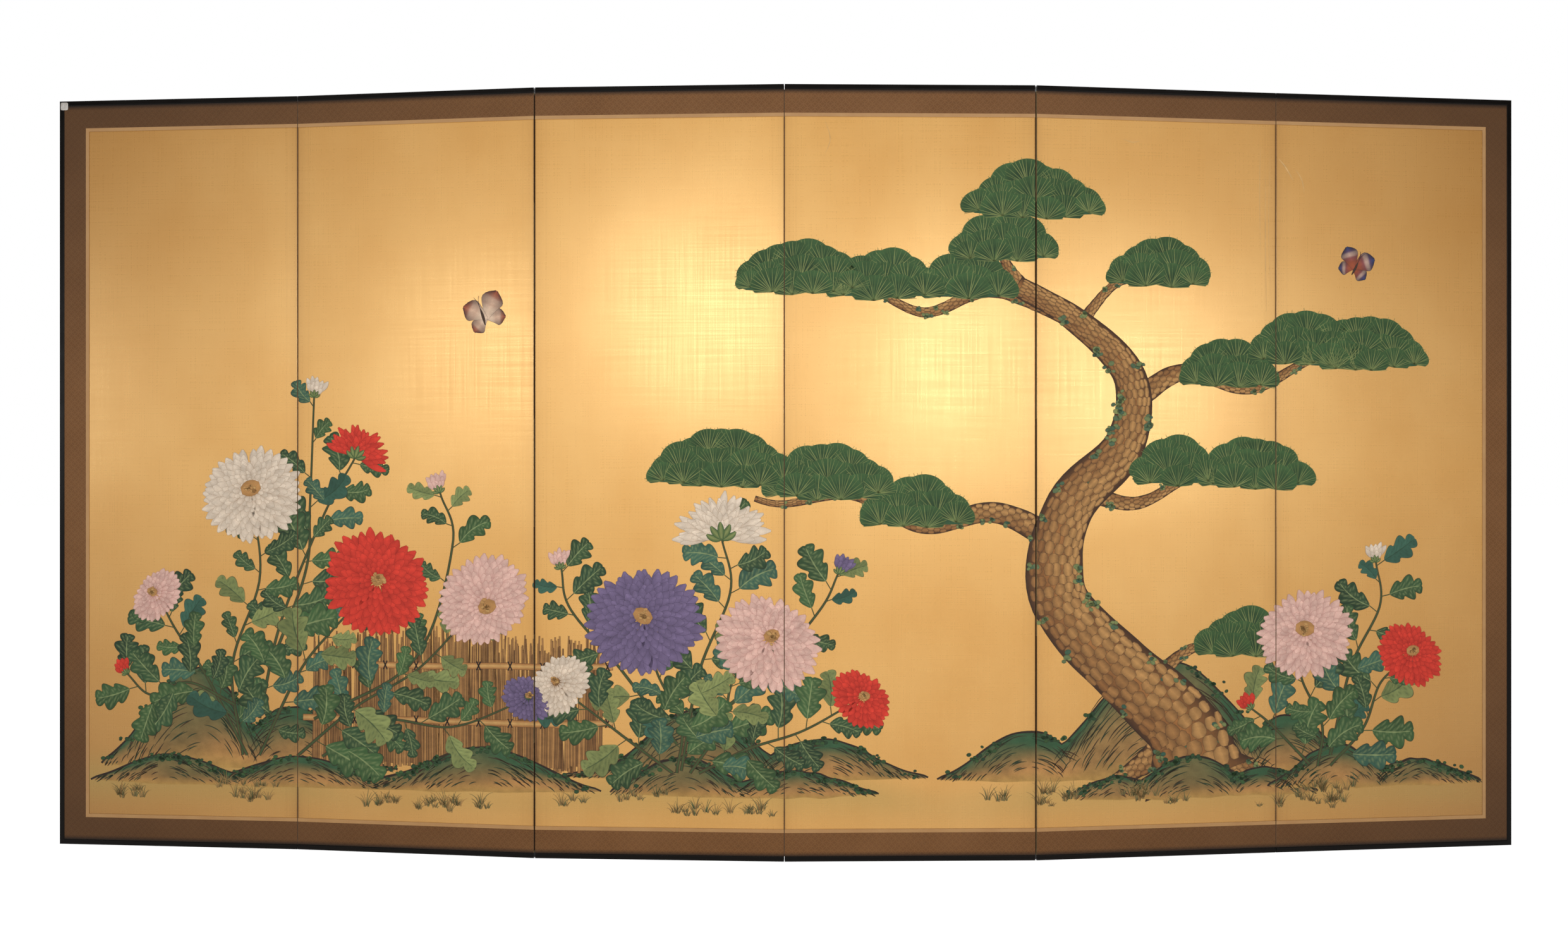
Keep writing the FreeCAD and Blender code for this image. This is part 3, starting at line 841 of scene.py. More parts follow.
def brushwood_fence(strokes, rng, low, high, foot, top, sticks):
    """A fence of thin brushwood sticks, tied to two bamboo rails."""
    x = np.linspace(low, high, sticks) + rng.uniform(-2.5, 2.5, sticks)
    start = np.stack([x, foot + rng.uniform(-8, 8, sticks)], -1)
    tall = (top - foot) * rng.uniform(0.88, 1.05, sticks) * (1 - 0.05 * np.cos((x - low) / 90))
    upright = np.pi / 2 + rng.uniform(-0.03, 0.03, sticks)
    path = arcs(start, upright, tall, rng.uniform(-0.05, 0.05, sticks), 9)
    half = taper(np.linspace(0, 1, 9), 3.0, 1.2)
    tone = blend(EARTH, OCHRE, rng.uniform(0, 1, sticks))[:, None]
    rim = blend(tone, BARK_DARK, np.full(9, 0.5))
    levels = FENCE_LEVEL + 0.25 * (np.arange(sticks) % 3)
    strokes.ribbon(path, half, half, tone, rim, levels, BARK_DARK, 0.6)
    for share in (0.34, 0.76):
        height = foot + (top - foot) * share
        rail = np.stack([np.linspace(low - 26, high + 26, 60), np.full(60, height)], -1)
        rail[:, 1] += wavy(rng, 60, 3, 2.0)
        knots = np.full((1, 60), 6.5)
        knots[0, 4::9] += 1.6
        strokes.ribbon(rail[None], knots, knots, STRAW, BARK, FENCE_LEVEL + 1.0, INK, 1.0)
        ties = rail[4::6]
        for lean in (0.7, -0.7):
            cross = arcs(ties - [4, 10 * np.sign(lean)], lean * 1.6, 22.0, 0.0, 3)
            strokes.ribbon(cross, np.full(3, 1.6), np.full(3, 1.6), INK, INK, FENCE_LEVEL + 1.5)


def grass_tufts(strokes, rng, centres, length, level):
    """Tufts of nine blades: tapered ribbons that bend outwards."""
    blades = 9
    count = len(centres) * blades
    fan = np.tile(np.linspace(-1.0, 1.0, blades), len(centres)) + rng.uniform(-0.1, 0.1, count)
    start = np.repeat(centres, blades, axis=0) + np.stack([fan * 5, rng.uniform(-2, 2, count)], -1)
    reach = np.repeat(length, blades) * rng.uniform(0.35, 1.1, count)
    path = arcs(start, np.pi / 2 - fan * 0.85, reach, -fan * 1.2, 6)
    half = taper(np.linspace(0, 1, 6), 1.1, 0.25)
    green = blend(MOSS, OCHRE, rng.uniform(0.1, 0.75, count))[:, None]
    strokes.ribbon(path, half, half, green, green, level)


def garden_ground(sizes):
    """Low banks, a brushwood fence and grass along the foot of the picture."""
    rng = np.random.default_rng(SEED + 2)
    strokes = Strokes()
    far_banks = (
        (90, 800, 190, ((300, 150, 230), (560, 130, 130)), FAR_BANK_LEVEL),
        (1180, 2000, 186, ((1480, 150, 140), (1780, 140, 84)), FAR_BANK_LEVEL),
        (2020, 3010, 182, ((2200, 130, 120), (2540, 220, 240), (2850, 120, 160)), FAR_BANK_LEVEL),
    )
    near_banks = (
        (64, 1270, 152, ((230, 130, 74), (560, 130, 46), (1030, 170, 104)), NEAR_BANK_LEVEL),
        (1290, 1890, 150, ((1430, 120, 76), (1720, 120, 44)), NEAR_BANK_LEVEL),
        (2300, 2900, 138, ((2410, 80, 44), (2600, 110, 74), (2790, 90, 58)), NEAR_BANK_LEVEL),
        (2780, 3296, 152, ((2930, 110, 84), (3160, 110, 46)), FRONT_BANK_LEVEL),
    )
    for shape in far_banks:
        bank(strokes, rng, *shape)
    brushwood_fence(strokes, rng, 600, 1270, 200, 500, sizes.sticks)
    for shape in near_banks:
        bank(strokes, rng, *shape)
    clump = np.repeat(np.stack([rng.uniform(90, 3270, 34), rng.uniform(104, 150, 34)], -1), 4, axis=0)
    foot = clump + rng.normal(0, 1, clump.shape) * [22, 5]
    grass_tufts(strokes, rng, foot, rng.uniform(12, 40, len(foot)), GRASS_LEVEL)
    return strokes


def butterflies():
    """Two butterflies: each wing is a wide ribbon from the body to its tip, with bands of colour.

    A wing has the angle that it points at, and its length and width as shares of the butterfly's size.
    """
    strokes = Strokes()
    t = np.linspace(0, 1, 11)
    pale, rust, blue, dark = shade("#DDBFA4"), shade("#9C5036"), shade("#33426C"), shade("#2A2226")
    wings = ((-0.35, 0.66, 0.26), (3.5, 0.62, 0.25), (0.75, 1.0, 0.36), (2.25, 0.92, 0.34))
    pair = (((1010, 1210), 0.45, 66, pale, rust), ((2985, 1330), -0.35, 56, rust, blue))
    for centre, lean, size, inner, outer in pair:
        centre = np.array([centre], float)
        for order, (angle, long, wide) in enumerate(wings):
            path = arcs(centre, angle + lean, size * long, 0.3 if order % 2 else -0.3, 11)
            half = size * wide * np.sin(np.pi * t ** 1.5 * 0.95 + 0.08) ** 0.75 * (1 + 0.08 * np.cos(9 * t))
            bands = blend(inner, outer, np.clip(1.6 * t - 0.5, 0, 1))
            bands = blend(bands, pale, 0.5 * (np.abs(t - 0.66) < 0.06))
            level = BUTTERFLY_LEVEL + 0.5 * order
            strokes.ribbon(path, half, half, bands, blend(bands, dark, t), level, dark, 0.9)
        body = arcs(centre - [4 * math.cos(lean), 14], 1.45 + lean, size * 0.62, 0.2, 7)
        thick = size * 0.05 * np.sin(np.pi * np.linspace(0.1, 0.95, 7))
        strokes.ribbon(body, thick, thick, SOFT_INK, dark, BUTTERFLY_LEVEL + 2.5)
        for side in (0.3, -0.3):
            feeler = arcs(body[:, -1], 1.45 + lean + side, size * 0.42, side * 2, 6)
            strokes.ribbon(feeler, np.full(6, 0.5), np.full(6, 0.5), dark, dark, BUTTERFLY_LEVEL + 2.5)
    return strokes


def crease_light_and_shade():
    """Creases near the silk's top, most by the fifth hinge: pale painted highlights with darker painted
    shade.
    """
    strokes = Strokes()
    # Pale is the creases' painted highlight and dark their painted shade
    pale, dark = shade("#DDB57C"), shade("#B98D52")
    lines = (
        ([(2764, 1610), (2761, 1500), (2765, 1330)], 1.6),
        ([(2776, 1560), (2775, 1380), (2778, 1200)], 1.8),
        ([(2786, 1600), (2783, 1420), (2787, 1260)], 1.4),
        ([(2806, 1578), (2822, 1560), (2842, 1528)], 4.0),
        ([(2846, 1556), (2862, 1530), (2868, 1500)], 2.4),
        ([(2440, 1612), (2462, 1606), (2480, 1609)], 2.2),
        ([(1770, 1648), (1782, 1606), (1770, 1570)], 1.5),
    )
    for order, (points, width) in enumerate(lines):
        half = width / 2 * np.sin(np.pi * np.linspace(0.03, 0.97, 16))
        strokes.ribbon(smooth_path(points, 16)[None], half, half, pale, dark, CREASE_LIGHT_LEVEL + 0.1 * order)
    return strokes


# Materials


def add(tree, kind, *values, named=(), **settings):
    """Adds a shader node with its settings. Values go to its sockets in order, and named ones by name.

    A value is a number, a colour, an output, or a node, which stands for its first output.
    """
    node = tree.nodes.new("ShaderNode" + kind)
    for name, value in settings.items():
        setattr(node, name, value)
    sockets = [socket for socket in node.inputs if socket.enabled]
    pairs = [*zip(sockets, values), *((node.inputs[name], value) for name, value in dict(named).items())]
    for socket, value in pairs:
        if isinstance(value, bpy.types.Node):
            value = next(output for output in value.outputs if output.enabled)
        if isinstance(value, bpy.types.NodeSocket):
            tree.links.new(value, socket)
        else:
            socket.default_value = value
    return node


def new_material(name):
    """An empty material, with its nodes and the coordinates of the piece in metres."""
    material = bpy.data.materials.new(name)
    material.use_nodes = True
    tree = material.node_tree
    tree.nodes.clear()
    return material, tree, add(tree, "TexCoord").outputs["Object"]


def grain(tree, place, sizes_mm, detail=2.0, roughness=0.5):
    """Noise whose grains measure sizes_mm along X, Y and Z: the coordinates are divided by them."""
    stretched = add(tree, "Mapping", place, named={"Scale": [1 / (size * MM) for size in sizes_mm]})
    return add(tree, "TexNoise", stretched, 1.0, detail, roughness)


def washes(tree, colour, *layers):
    """Colours laid one over another.

    Each has a pattern, the two values of it between which the colour fades in, how much of the colour there
    is at most, and the colour.
    """
    for pattern, low, high, most, paint in layers:
        share = add(tree, "MapRange", pattern, low, high, 0.0, most)
        colour = add(tree, "Mix", share, colour, linear(paint), data_type="RGBA")
    return colour


def surface(tree, look, height, depth_mm, strength=0.5):
    """The surface shader: its look by socket name, and relief from a height pattern and its real depth."""
    relief = add(tree, "Bump", named={"Height": height, "Distance": depth_mm * MM, "Strength": strength})
    shader = add(tree, "BsdfPrincipled", named={**look, "Normal": relief})
    add(tree, "OutputMaterial", shader)


def gold_silk_material(colours):
    """Gold wash on plain-woven silk: a soft warm sheen, with threads both ways, darkened by painted shade
    and age.

    Real silk has about 3 threads to a millimetre. They are drawn 3 mm wide, as slubs, to show at all.
    """
    material, tree, place = new_material("Gold wash on woven silk")
    threads = add(tree, "Math", grain(tree, place, (240, 1000, 3.0), 3.0, 0.6),
                  grain(tree, place, (3.0, 1000, 240), 3.0, 0.6), operation="ADD")
    cloud = grain(tree, place, (260, 1000, 330), 4.0, 0.55)
    # The darkening attribute: painted shade towards the ends, corners, foot and hinges, with some ageing
    aged_and_shaded, washed = (add(tree, "Attribute", attribute_name=name).outputs["Fac"]
                    for name in ("aged_and_shaded", "washed"))
    gold = washes(tree, colours.gold, (threads, 0.75, 1.25, 0.24, "#B78240"),
                  (cloud, 0.35, 0.7, 0.3, "#EDC07A"), (aged_and_shaded, 0.0, 1.0, 1.0, "#8E5D28"),
                  (washed, 0.0, 1.0, 0.45, "#8F7F45"))
    rough = add(tree, "MapRange", threads, 0.75, 1.25, 0.26, 0.33)
    surface(tree, {"Base Color": gold, "Metallic": 0.1, "Specular IOR Level": 1.0,
                   "Specular Tint": linear("#FFF0BC"), "Roughness": rough}, threads, 0.08, 0.3)
    return material


def pigment_material():
    """Ground mineral and shell pigments in glue: matte, a little uneven in depth, as the brush left them.

    It is made when it is first asked for, and is the same for all that is painted.
    """
    name = "Mineral pigment, brushed"
    if name in bpy.data.materials:
        return bpy.data.materials[name]
    material, tree, place = new_material(name)
    fine = grain(tree, place, (1.6, 1000, 1.6), 3.0, 0.65)
    broad = grain(tree, place, (24, 1000, 18), 3.0, 0.55)
    depth = add(tree, "Math", add(tree, "MapRange", fine, 0.3, 0.7, 0.86, 1.12),
                add(tree, "MapRange", broad, 0.3, 0.7, 0.72, 1.0), operation="MULTIPLY")
    paint = add(tree, "Attribute", attribute_name="paint").outputs["Color"]
    laid = add(tree, "VectorMath", paint, depth, operation="SCALE")
    colour = washes(tree, laid, (fine, 0.68, 0.78, 0.45, "#C99B5E"))
    surface(tree, {"Base Color": colour, "Roughness": 0.72, "Specular IOR Level": 0.25}, fine, 0.05)
    return material


def circles_pattern(tree, place, pitch_mm, width_mm):
    """Interlocking circles, a common textile pattern, which is 1 on a circle's line and 0 off it.

    The circles have half the pitch for radius and stand around the points of a square lattice and around
    the middles of its squares.
    """
    flat = add(tree, "Mapping", place, named={"Scale": (1, 0, 1)})
    rings = []
    for shift in (0.0, pitch_mm / 2 * MM):
        moved = add(tree, "Mapping", flat, (shift, 0, shift))
        cells = add(tree, "TexVoronoi", moved, named={"Scale": 1 / (pitch_mm * MM), "Randomness": 0.0})
        off = add(tree, "Math", add(tree, "Math", cells, 0.5, operation="SUBTRACT"), operation="ABSOLUTE")
        rings.append(add(tree, "MapRange", off, 0.0, width_mm / pitch_mm, 1.0, 0.0))
    return add(tree, "Math", *rings, operation="MAXIMUM")


def brocade_material(colours):
    """Brown silk brocade: satin, finely ribbed, with a faint woven pattern of interlocking circles.

    It is darker towards the screen's corners, painted shade where the lamps' light falls off with some
    soiling, and in the last centimetre before the rails, a painted shadow of the raised rails with some
    dust. Out and off are the distances from the screen's middle, across and in height.
    """
    material, tree, place = new_material("Brown silk brocade")
    threads = add(tree, "Math", grain(tree, place, (40, 1000, 1.2), 2.0, 0.6),
                  grain(tree, place, (1.2, 1000, 40), 2.0, 0.6), operation="ADD")
    cloud = grain(tree, place, (120, 1000, 90), 3.0, 0.5)
    figure = circles_pattern(tree, place, 17.0, 1.1)
    spot = add(tree, "SeparateXYZ", place).outputs
    out = add(tree, "Math", spot["X"], operation="ABSOLUTE")
    half_height = CAD_BOX[1][2] / 2
    # Painted shadow of the raised rails, with some dust, in the band just before the top and bottom rails
    rail_shadow_and_dust_begins, rail_shadow_and_dust_is_full = half_height - 0.022, half_height - 0.013
    above = add(tree, "Math", spot["Z"], half_height, operation="SUBTRACT")
    off = add(tree, "Math", above, operation="ABSOLUTE")
    # Corners: painted shade towards the screen's corners, where the lamps' light falls off, with some
    # soiling
    corners = add(tree, "Math", out, off, operation="MULTIPLY")
    colour = washes(tree, colours.border, (threads, 0.7, 1.3, 0.4, "#48301E"),
                    (cloud, 0.3, 0.7, 0.3, "#7E5836"), (figure, 0.0, 1.0, 0.22, "#946C40"),
                    (corners, 0.3, 1.3, 0.6, "#3A2615"),
                    (off, rail_shadow_and_dust_begins, rail_shadow_and_dust_is_full, 0.85, "#0C0806"))
    rough = add(tree, "MapRange", figure, 0.0, 1.0, 0.62, 0.48)
    woven = add(tree, "Math", threads, figure, operation="ADD")
    surface(tree, {"Base Color": colour, "Roughness": rough, "Specular IOR Level": 0.2}, woven, 0.15)
    return material


def fillet_material(colours):
    """Narrow strip of plain pale silk between border and picture: satin, slightly faded."""
    material, tree, place = new_material("Plain fillet silk")
    threads = grain(tree, place, (1.4, 1000, 1.4), 2.0, 0.6)
    faded = grain(tree, place, (60, 1000, 60), 3.0, 0.6)
    colour = washes(tree, colours.fillet, (threads, 0.3, 0.7, 0.3, "#8F6840"),
                    (faded, 0.35, 0.7, 0.4, "#B48D59"))
    surface(tree, {"Base Color": colour, "Roughness": 0.55}, threads, 0.08)
    return material


def lacquer_material(colours):
    """Black lacquer on cypress, rubbed: a dark gloss, with faint brush waves and fine scuffs."""
    material, tree, place = new_material("Rubbed black lacquer")
    waves = grain(tree, place, (90, 40, 90), 2.0, 0.5)
    scuffs = grain(tree, place, (30, 3, 0.8), 3.0, 0.7)
    colour = washes(tree, colours.lacquer, (scuffs, 0.62, 0.8, 0.3, "#33241A"))
    rough = add(tree, "MapRange", waves, 0.3, 0.7, 0.26, 0.4)
    surface(tree, {"Base Color": colour, "Roughness": rough, "Specular IOR Level": 0.09}, waves, 0.1, 0.3)
    return material


def back_paper_material(colours):
    """Dyed mulberry paper: matte, printed with a faint repeat of interlocking circles."""
    material, tree, place = new_material("Printed back paper")
    fibres = grain(tree, place, (5, 1000, 2.2), 4.0, 0.7)
    cloud = grain(tree, place, (200, 1000, 260), 4.0, 0.6)
    figure = circles_pattern(tree, place, 96.0, 3.4)
    colour = washes(tree, colours.back, (fibres, 0.3, 0.7, 0.35, "#2A2118"),
                    (cloud, 0.3, 0.7, 0.35, "#64513A"), (figure, 0.0, 1.0, 0.7, "#8E764F"))
    surface(tree, {"Base Color": colour, "Roughness": 0.82}, fibres, 0.1)
    return material


def paper_material(name, first, second):
    """Laminated mulberry paper: matte, with long fibres in it."""
    material, tree, place = new_material(name)
    fibres = grain(tree, place, (2.0, 2.0, 6.0), 4.0, 0.7)
    colour = washes(tree, linear(first), (fibres, 0.3, 0.7, 1.0, second))
    surface(tree, {"Base Color": colour, "Roughness": 0.85}, fibres, 0.08)
    return material


def wood_material(name, first, second, sizes_mm):
    """Planed or split wood: long grain, matte."""
    material, tree, place = new_material(name)
    figure = grain(tree, place, sizes_mm, 4.0, 0.6)
    colour = washes(tree, linear(first), (figure, 0.3, 0.7, 1.0, second))
    surface(tree, {"Base Color": colour, "Roughness": 0.7}, figure, 0.1, 0.4)
    return material


def plate_material():
    """Thin silvered copper plate: pale, soft metal with rubbed corners."""
    material, tree, place = new_material("Silvered copper plate")
    rubbed = grain(tree, place, (6, 6, 6), 4.0, 0.6)
    colour = washes(tree, linear("#C6C2BC"), (rubbed, 0.35, 0.7, 1.0, "#A49C92"))
    rough = add(tree, "MapRange", rubbed, 0.3, 0.7, 0.4, 0.6)
    surface(tree, {"Base Color": colour, "Metallic": 0.7, "Roughness": rough}, rubbed, 0.1, 0.3)
    return material


def seen_rays(tree):
    """The kinds of ray, and a mask of the camera's and those through glass, which see a white backdrop."""
    rays = add(tree, "LightPath").outputs
    return rays, add(tree, "Math", rays["Is Camera Ray"], rays["Is Transmission Ray"], operation="MAXIMUM")


def floor_material():
    """Pale studio floor: matte, with a glow that only the camera, mirrors and glass see."""
    material, tree, _ = new_material("Pale studio floor")
    rays, seen = seen_rays(tree)
    seen = add(tree, "Math", seen, rays["Is Glossy Ray"], operation="MAXIMUM")
    paint = add(tree, "BsdfDiffuse", linear("#D8D8D8"))
    glow = add(tree, "Emission", linear("#FFFFFF"), FLOOR_GLOW)
    add(tree, "OutputMaterial", add(tree, "MixShader", seen, paint, add(tree, "AddShader", paint, glow)))
    return material


# Pieces


def thicken(piece, thickness_mm):
    """Gives a sheet its thickness, behind its front."""
    solid = piece.modifiers.new("Thickness", "SOLIDIFY")
    solid.thickness, solid.offset = thickness_mm * MM, -1


def silk_lines(low, high):
    """Grid lines across a sheet: evenly spaced, with the close ones of the edge band at both sides."""
    inner = np.linspace(low, high, int(round((high - low) / SILK_STEP)) + 1)
    inner = inner[(inner > low + EDGE_BAND) & (inner < high - EDGE_BAND)]
    return np.concatenate([low + EDGE_LINES, inner, high - EDGE_LINES[::-1]])


def silk_sheet(panel, material):
    """The painted silk of one panel: a flat grid with how darkened and how washed with colour each point is.

    Its darkening grows towards the outer ends, the corners and the foot of the whole screen: painted shade
    where the lamps' light falls off, with some ageing. At each hinge it is a narrow line of painted shade of
    the gap, with some wear, and there is a darker narrow line along the end of the straps that lie under the
    silk. An outer side has no hinge, so it counts as far away. The wash is a low band of colour for the
    ground, with a soft and waving upper edge.
    """
    far_away = 200.0
    middle, half_height = 880, 800
    place = PLACES[panel]
    x, z = np.meshgrid(silk_lines(place.low, place.high), silk_lines(place.bottom, place.top))
    faces = grid_faces(*x.shape)
    x, z = x.ravel(), z.ravel()
    mesh = new_mesh(f"painted_silk_{panel}", place.world(x, z, 0 * x), faces)
    left = x - place.low + (far_away if panel == PANELS[0] else 0)
    right = place.high - x + (far_away if panel == PANELS[-1] else 0)
    side = np.minimum(left, right)
    out, up = (x - 3 * PITCH) / (3 * PITCH), (z - middle) / half_height
    # Painted shade towards the ends, corners and foot, where the lamps' light falls off, with some ageing
    far = 0.32 * np.abs(out) ** 3 + 0.40 * np.abs(out * up) + 0.20 * np.clip(-up, 0, 1) ** 2
    # Painted shade of the hinge gap, with some wear, in the last few millimetres at each hinge
    hinge_shade_and_wear = 0.6 * np.exp(-side / 3.0)
    # The narrow line along the end of the straps under the silk is darker
    aged_and_shaded = np.clip(far + hinge_shade_and_wear + 0.10 * np.exp(-((side - STRAP_END) / 2.5) ** 2), 0, 1)
    crest = 205 + 26 * np.sin(x / 190) + 18 * np.sin(x / 71 + 1)
    washed = np.clip((crest - z) / 70, 0, 1) * np.clip((z - 84) / 60, 0, 1)
    for name, value in (("aged_and_shaded", aged_and_shaded), ("washed", washed)):
        mesh.attributes.new(name, "FLOAT", "POINT").data.foreach_set("value", value.astype(np.float32))
    piece = new_piece(f"painted_silk_{panel}", mesh, material, place.body)
    thicken(piece, SILK_THICKNESS)
    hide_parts(f"panel_{panel}_painting_sheet")


def hinge_paper(hinge, material):
    """The folded paper that closes the gap of one hinge: a thin strip with two faces.

    Its section goes straight from the edge of one panel to that of the next, and back one paper's thickness
    behind. Odd hinges have it near the front and even ones near the back, at the line that they fold on.
    The points go round the section, along the front and back again, at the lower end and at the upper end.
    """
    left, right = PLACES[hinge], PLACES[hinge + 1]
    line, deep = hinge * PITCH, FRONT_FOLD if hinge % 2 else BACK_FOLD
    share = np.linspace(0, 1, FOLD_STEPS + 1)[:, None, None]
    sides = []
    for forward in (-deep, -deep - FOLD_THICKNESS):
        first, last = (place.world(np.full(2, line + reach), np.array(FOLD_ENDS), np.full(2, forward))
                       for place, reach in ((left, -FOLD_REACH), (right, FOLD_REACH)))
        sides.append(first + (last - first) * share)
    loop = np.concatenate([sides[0], sides[1][::-1]])
    around = np.arange(len(loop))
    onward = (around + 1) % len(loop)
    wall = np.stack([2 * around, 2 * onward, 2 * onward + 1, 2 * around + 1], -1)
    step = np.arange(FOLD_STEPS)
    end = len(loop) - 1
    cap = np.stack([step, step + 1, end - 1 - step, end - step], -1) * 2
    faces = np.concatenate([wall, cap[:, ::-1], cap + 1])
    mesh = new_mesh(f"hinge_paper_{hinge}", loop.reshape(-1, 3), faces)
    piece = new_piece(f"hinge_paper_{hinge}", mesh, material)
    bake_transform(piece)


def corner_plate(material):
    """The small plate let into the frame at its top left corner: a rounded square, domed a little.

    A square grid is drawn in to the curve where x and z to the sixth power add up to one. The dome falls
    with the fourth power of the distance from the middle.
    """
    line = np.linspace(-1, 1, 21)
    x, z = (value.ravel() for value in np.meshgrid(line, line))
    ring = np.maximum(np.abs(x), np.abs(z))
    reach = PLATE_SIDE / 2 * ring / np.maximum((x ** 6 + z ** 6) ** (1 / 6), 1e-6)
    front = PLACES[1].world(x * reach, PLATE_HEIGHT + z * reach, PLATE_FORWARD - PLATE_DOME * ring ** 4)
    mesh = new_mesh("silvered_plate", front, grid_faces(len(line), len(line)))
    piece = new_piece("silvered_plate", mesh, material, "panel_1")
    thicken(piece, PLATE_THICKNESS)
    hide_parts("corner_plate")


def area_lamp(name, place, target, size, power):
    """A square soft lamp that faces a target: it is tipped up from looking down, and then turned round."""
    data = bpy.data.lights.new(name, "AREA")
    data.shape, data.size, data.energy = "SQUARE", size, power
    lamp = bpy.data.objects.new(name, data)
    bpy.context.scene.collection.objects.link(lamp)
    lamp.location = place
    away = np.array(place) - np.array(target)
    lamp.rotation_euler = (math.atan2(math.hypot(away[0], away[1]), away[2]), 0,
                           math.atan2(away[0], -away[1]))


def lay_floor():
    """The wide floor that the screen stands on."""
    steps = np.linspace(-FLOOR_HALF, FLOOR_HALF, 7)
    x, y = np.meshgrid(steps, steps)
    points = np.column_stack([x.ravel(), y.ravel(), np.zeros(x.size)])
    floor = new_piece("floor", new_mesh("floor", points, grid_faces(*x.shape)), floor_material())


def set_backdrop(scene):
    """A white backdrop that lights the screen softly.

    Mirrors show it white, and the unlit room behind the camera dimmer.
    """
    world = bpy.data.worlds.new("Pale backdrop")
    world.use_nodes = True
    tree = world.node_tree
    tree.nodes.clear()
    rays, seen = seen_rays(tree)
    ahead = add(tree, "SeparateXYZ", add(tree, "TexCoord")).outputs["Y"]
    room = add(tree, "MapRange", ahead, -0.5, 0.0, ROOM_GLOW, 1.0)
    mirrored = add(tree, "Math", rays["Is Glossy Ray"], room, operation="MULTIPLY")
    fill = add(tree, "Math", rays["Is Diffuse Ray"], FILL_LIGHT, operation="MULTIPLY")
    seen = add(tree, "Math", seen, mirrored, operation="MAXIMUM")
    sky = add(tree, "Background", linear("#FFFFFF"), add(tree, "Math", seen, fill, operation="MAXIMUM"))
    add(tree, "OutputWorld", sky)
    scene.world = world


def place_camera(scene, settings):
    """A level camera that looks along Y at the screen."""
    data = bpy.data.cameras.new("camera")
    data.lens, data.sensor_width, data.sensor_fit = settings.lens, SENSOR_WIDTH, "HORIZONTAL"
    camera = bpy.data.objects.new("camera", data)
    scene.collection.objects.link(camera)
    camera.location = (CAMERA_X, SCREEN_FRONT - settings.distance, settings.height)
    camera.rotation_euler = (math.pi / 2, 0, 0)
    scene.camera = camera


# Operators


class SCREEN_OT_silk(bpy.types.Operator):
    """Lay the gold-washed silk on each panel"""

    bl_idname = "screen.silk"
    bl_label = "Painted silk"

    def execute(self, context):
        material = gold_silk_material(context.scene.screen_colours)
        for panel in PANELS:
            silk_sheet(panel, material)
        # Painted highlight and shade of creases in the silk, laid as pigment
        crease_light_and_shade().cut("silk_crease_light_and_shade", pigment_material())
        return {"FINISHED"}


class SCREEN_OT_mounting(bpy.types.Operator):
    """Finish the border, fillet, lacquered frame, back paper, hinges and inner wood"""

    bl_idname = "screen.mounting"
    bl_label = "Mounting"

    def execute(self, context):
        colours = context.scene.screen_colours
        finishes = {
            "brocade_border": brocade_material(colours),
            "fillet_strips": fillet_material(colours),
            "lacquer_frame": lacquer_material(colours),
            "back_paper": back_paper_material(colours),
            "under_papers": paper_material("Mulberry under-paper", "#BCA478", "#8E7750"),
            "straps": paper_material("Mulberry hinge paper", "#5A4026", "#3A2818"),
            "lattice_core": wood_material("Sawn cedar", "#A9794C", "#7B5130", (3, 3, 60)),
            "bamboo_pegs": wood_material("Split bamboo", "#BFA164", "#94793F", (1, 1, 30)),
        }
        finishes["lacquer_rails"] = finishes["lacquer_frame"]
        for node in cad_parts:
            kinds = [kind for kind in finishes if node.endswith(kind)]
            if kinds:
                wear(node, finishes[kinds[0]])
            elif not node.endswith(("painting_sheet", "corner_plate")):
                raise RuntimeError(f"{node} has no finish")
        corner_plate(plate_material())
        return {"FINISHED"}


class SCREEN_OT_hinge_papers(bpy.types.Operator):
    """Close the gap of each hinge with its folded paper"""

    bl_idname = "screen.hinge_papers"
    bl_label = "Hinge papers"

    def execute(self, context):
        material = paper_material("Folded hinge paper", "#4E3822", "#33241A")
        for hinge in HINGES:
            hinge_paper(hinge, material)
        return {"FINISHED"}


class SCREEN_OT_ground(bpy.types.Operator):
    """Paint the banks, the brushwood fence and the grass"""

    bl_idname = "screen.ground"
    bl_label = "Banks and fence"

    def execute(self, context):
        garden_ground(context.scene.picture_sizes).cut("garden_ground", pigment_material())
        return {"FINISHED"}


class SCREEN_OT_pine(bpy.types.Operator):
    """Paint the old pine"""

    bl_idname = "screen.pine"
    bl_label = "Pine"

    def execute(self, context):
        old_pine(context.scene.picture_sizes).cut("old_pine", pigment_material())
        return {"FINISHED"}


class SCREEN_OT_flowers(bpy.types.Operator):
    """Paint the chrysanthemums"""

    bl_idname = "screen.flowers"
    bl_label = "Chrysanthemums"

    def execute(self, context):
        flower_clumps(context.scene.picture_sizes).cut("chrysanthemums", pigment_material())
        return {"FINISHED"}


class SCREEN_OT_butterflies(bpy.types.Operator):
    """Paint the butterflies"""

    bl_idname = "screen.butterflies"
    bl_label = "Butterflies"

    def execute(self, context):
        butterflies().cut("butterflies", pigment_material())
        return {"FINISHED"}


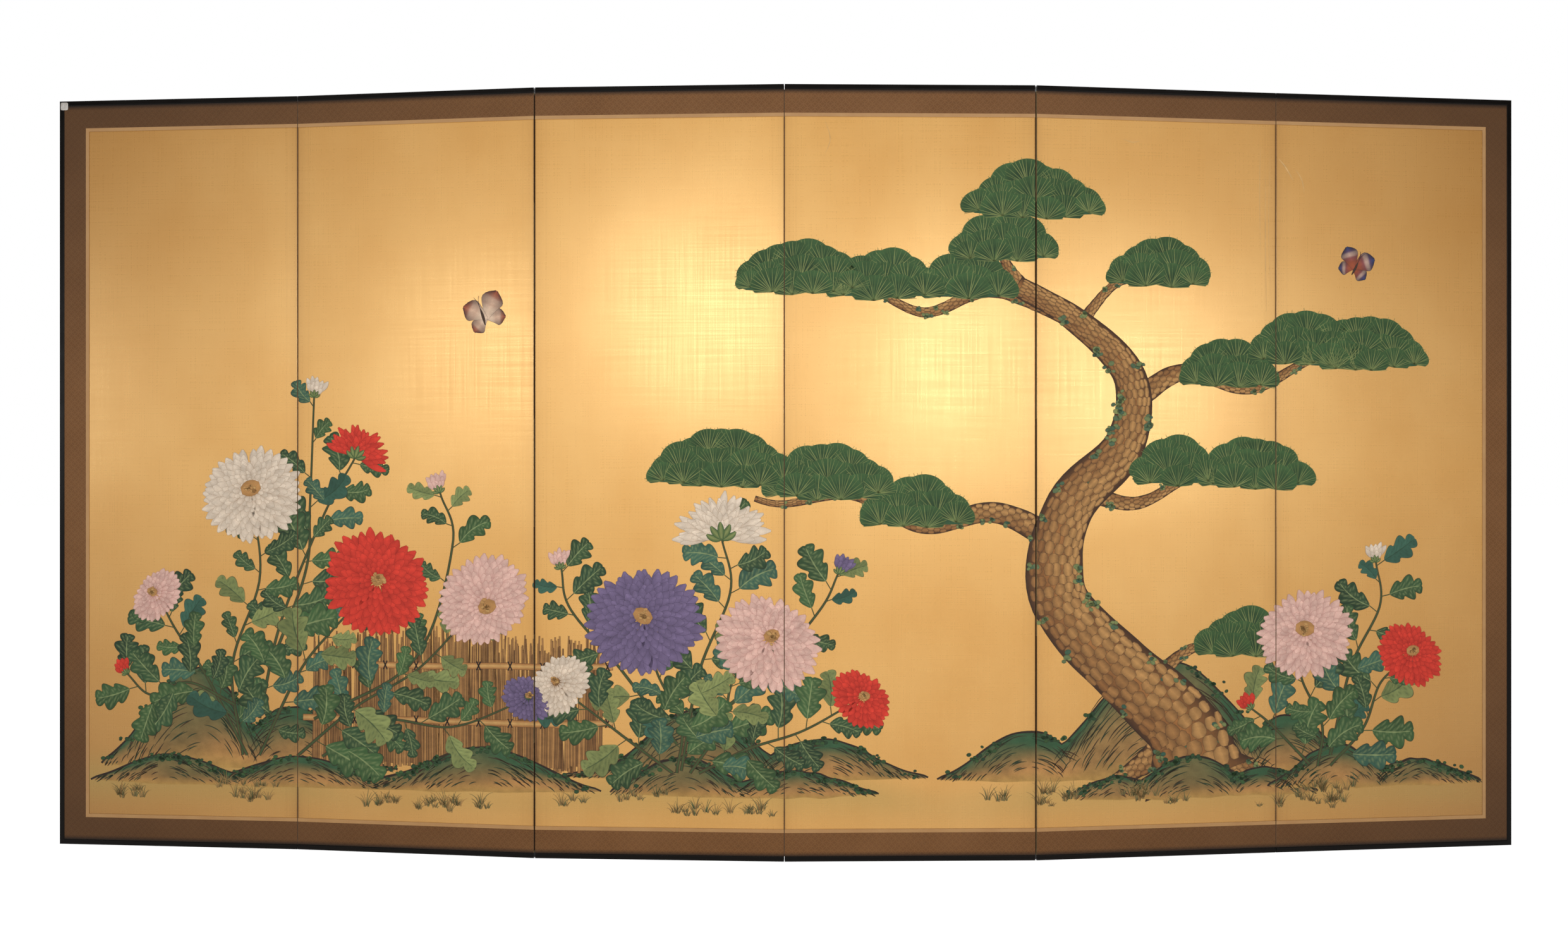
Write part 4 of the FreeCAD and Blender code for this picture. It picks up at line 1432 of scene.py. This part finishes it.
class SCREEN_OT_stage(bpy.types.Operator):
    """Set up the floor, the lamps, the backdrop and the camera"""

    bl_idname = "screen.stage"
    bl_label = "Stage"

    def execute(self, context):
        scene = context.scene
        settings = scene.stage_settings
        lay_floor()
        for name, (place, times) in SOFT_LAMPS.items():
            area_lamp(name, place, SCREEN_MIDDLE, SOFT_SIZE, settings.soft_light * times)
        for number, (x, z, times) in enumerate(SHEEN_LAMPS):
            target = (x * 0.3, 0.0, 0.95)
            power = settings.sheen_light * times
            area_lamp(f"sheen_{number}", (x, SHEEN_Y, z), target, SHEEN_SIZE, power)
        set_backdrop(scene)
        place_camera(scene, settings)
        scene.view_settings.view_transform = "Standard"
        return {"FINISHED"}


class SCREEN_PT_tools(bpy.types.Panel):
    """The steps of building the screen, in order"""

    bl_label = "Folding screen"
    bl_idname = "SCREEN_PT_tools"
    bl_space_type = "VIEW_3D"
    bl_region_type = "UI"
    bl_category = "Folding screen"

    def draw(self, context):
        for step in STEPS:
            self.layout.operator(step.bl_idname)
        scene = context.scene
        for group in (scene.screen_colours, scene.picture_sizes, scene.stage_settings):
            box = self.layout.box()
            for name in group.__annotations__:
                box.prop(group, name)


STEPS = (SCREEN_OT_silk, SCREEN_OT_mounting, SCREEN_OT_hinge_papers, SCREEN_OT_ground, SCREEN_OT_pine,
         SCREEN_OT_flowers, SCREEN_OT_butterflies, SCREEN_OT_stage)
GROUPS = (ScreenColours, PictureSizes, StageSettings)


def register():
    """Registers the classes, and gives the scene its settings."""
    for group in (*GROUPS, *STEPS, SCREEN_PT_tools):
        bpy.utils.register_class(group)
    bpy.types.Scene.screen_colours = PointerProperty(type=ScreenColours)
    bpy.types.Scene.picture_sizes = PointerProperty(type=PictureSizes)
    bpy.types.Scene.stage_settings = PointerProperty(type=StageSettings)


def unregister():
    """Takes back what register did, in the opposite order."""
    del bpy.types.Scene.stage_settings
    del bpy.types.Scene.picture_sizes
    del bpy.types.Scene.screen_colours
    for group in reversed((*GROUPS, *STEPS, SCREEN_PT_tools)):
        bpy.utils.unregister_class(group)


def main():
    """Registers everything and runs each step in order."""
    register()
    for step in STEPS:
        group, name = step.bl_idname.split(".")
        getattr(getattr(bpy.ops, group), name)()


if __name__ == "__main__":
    main()
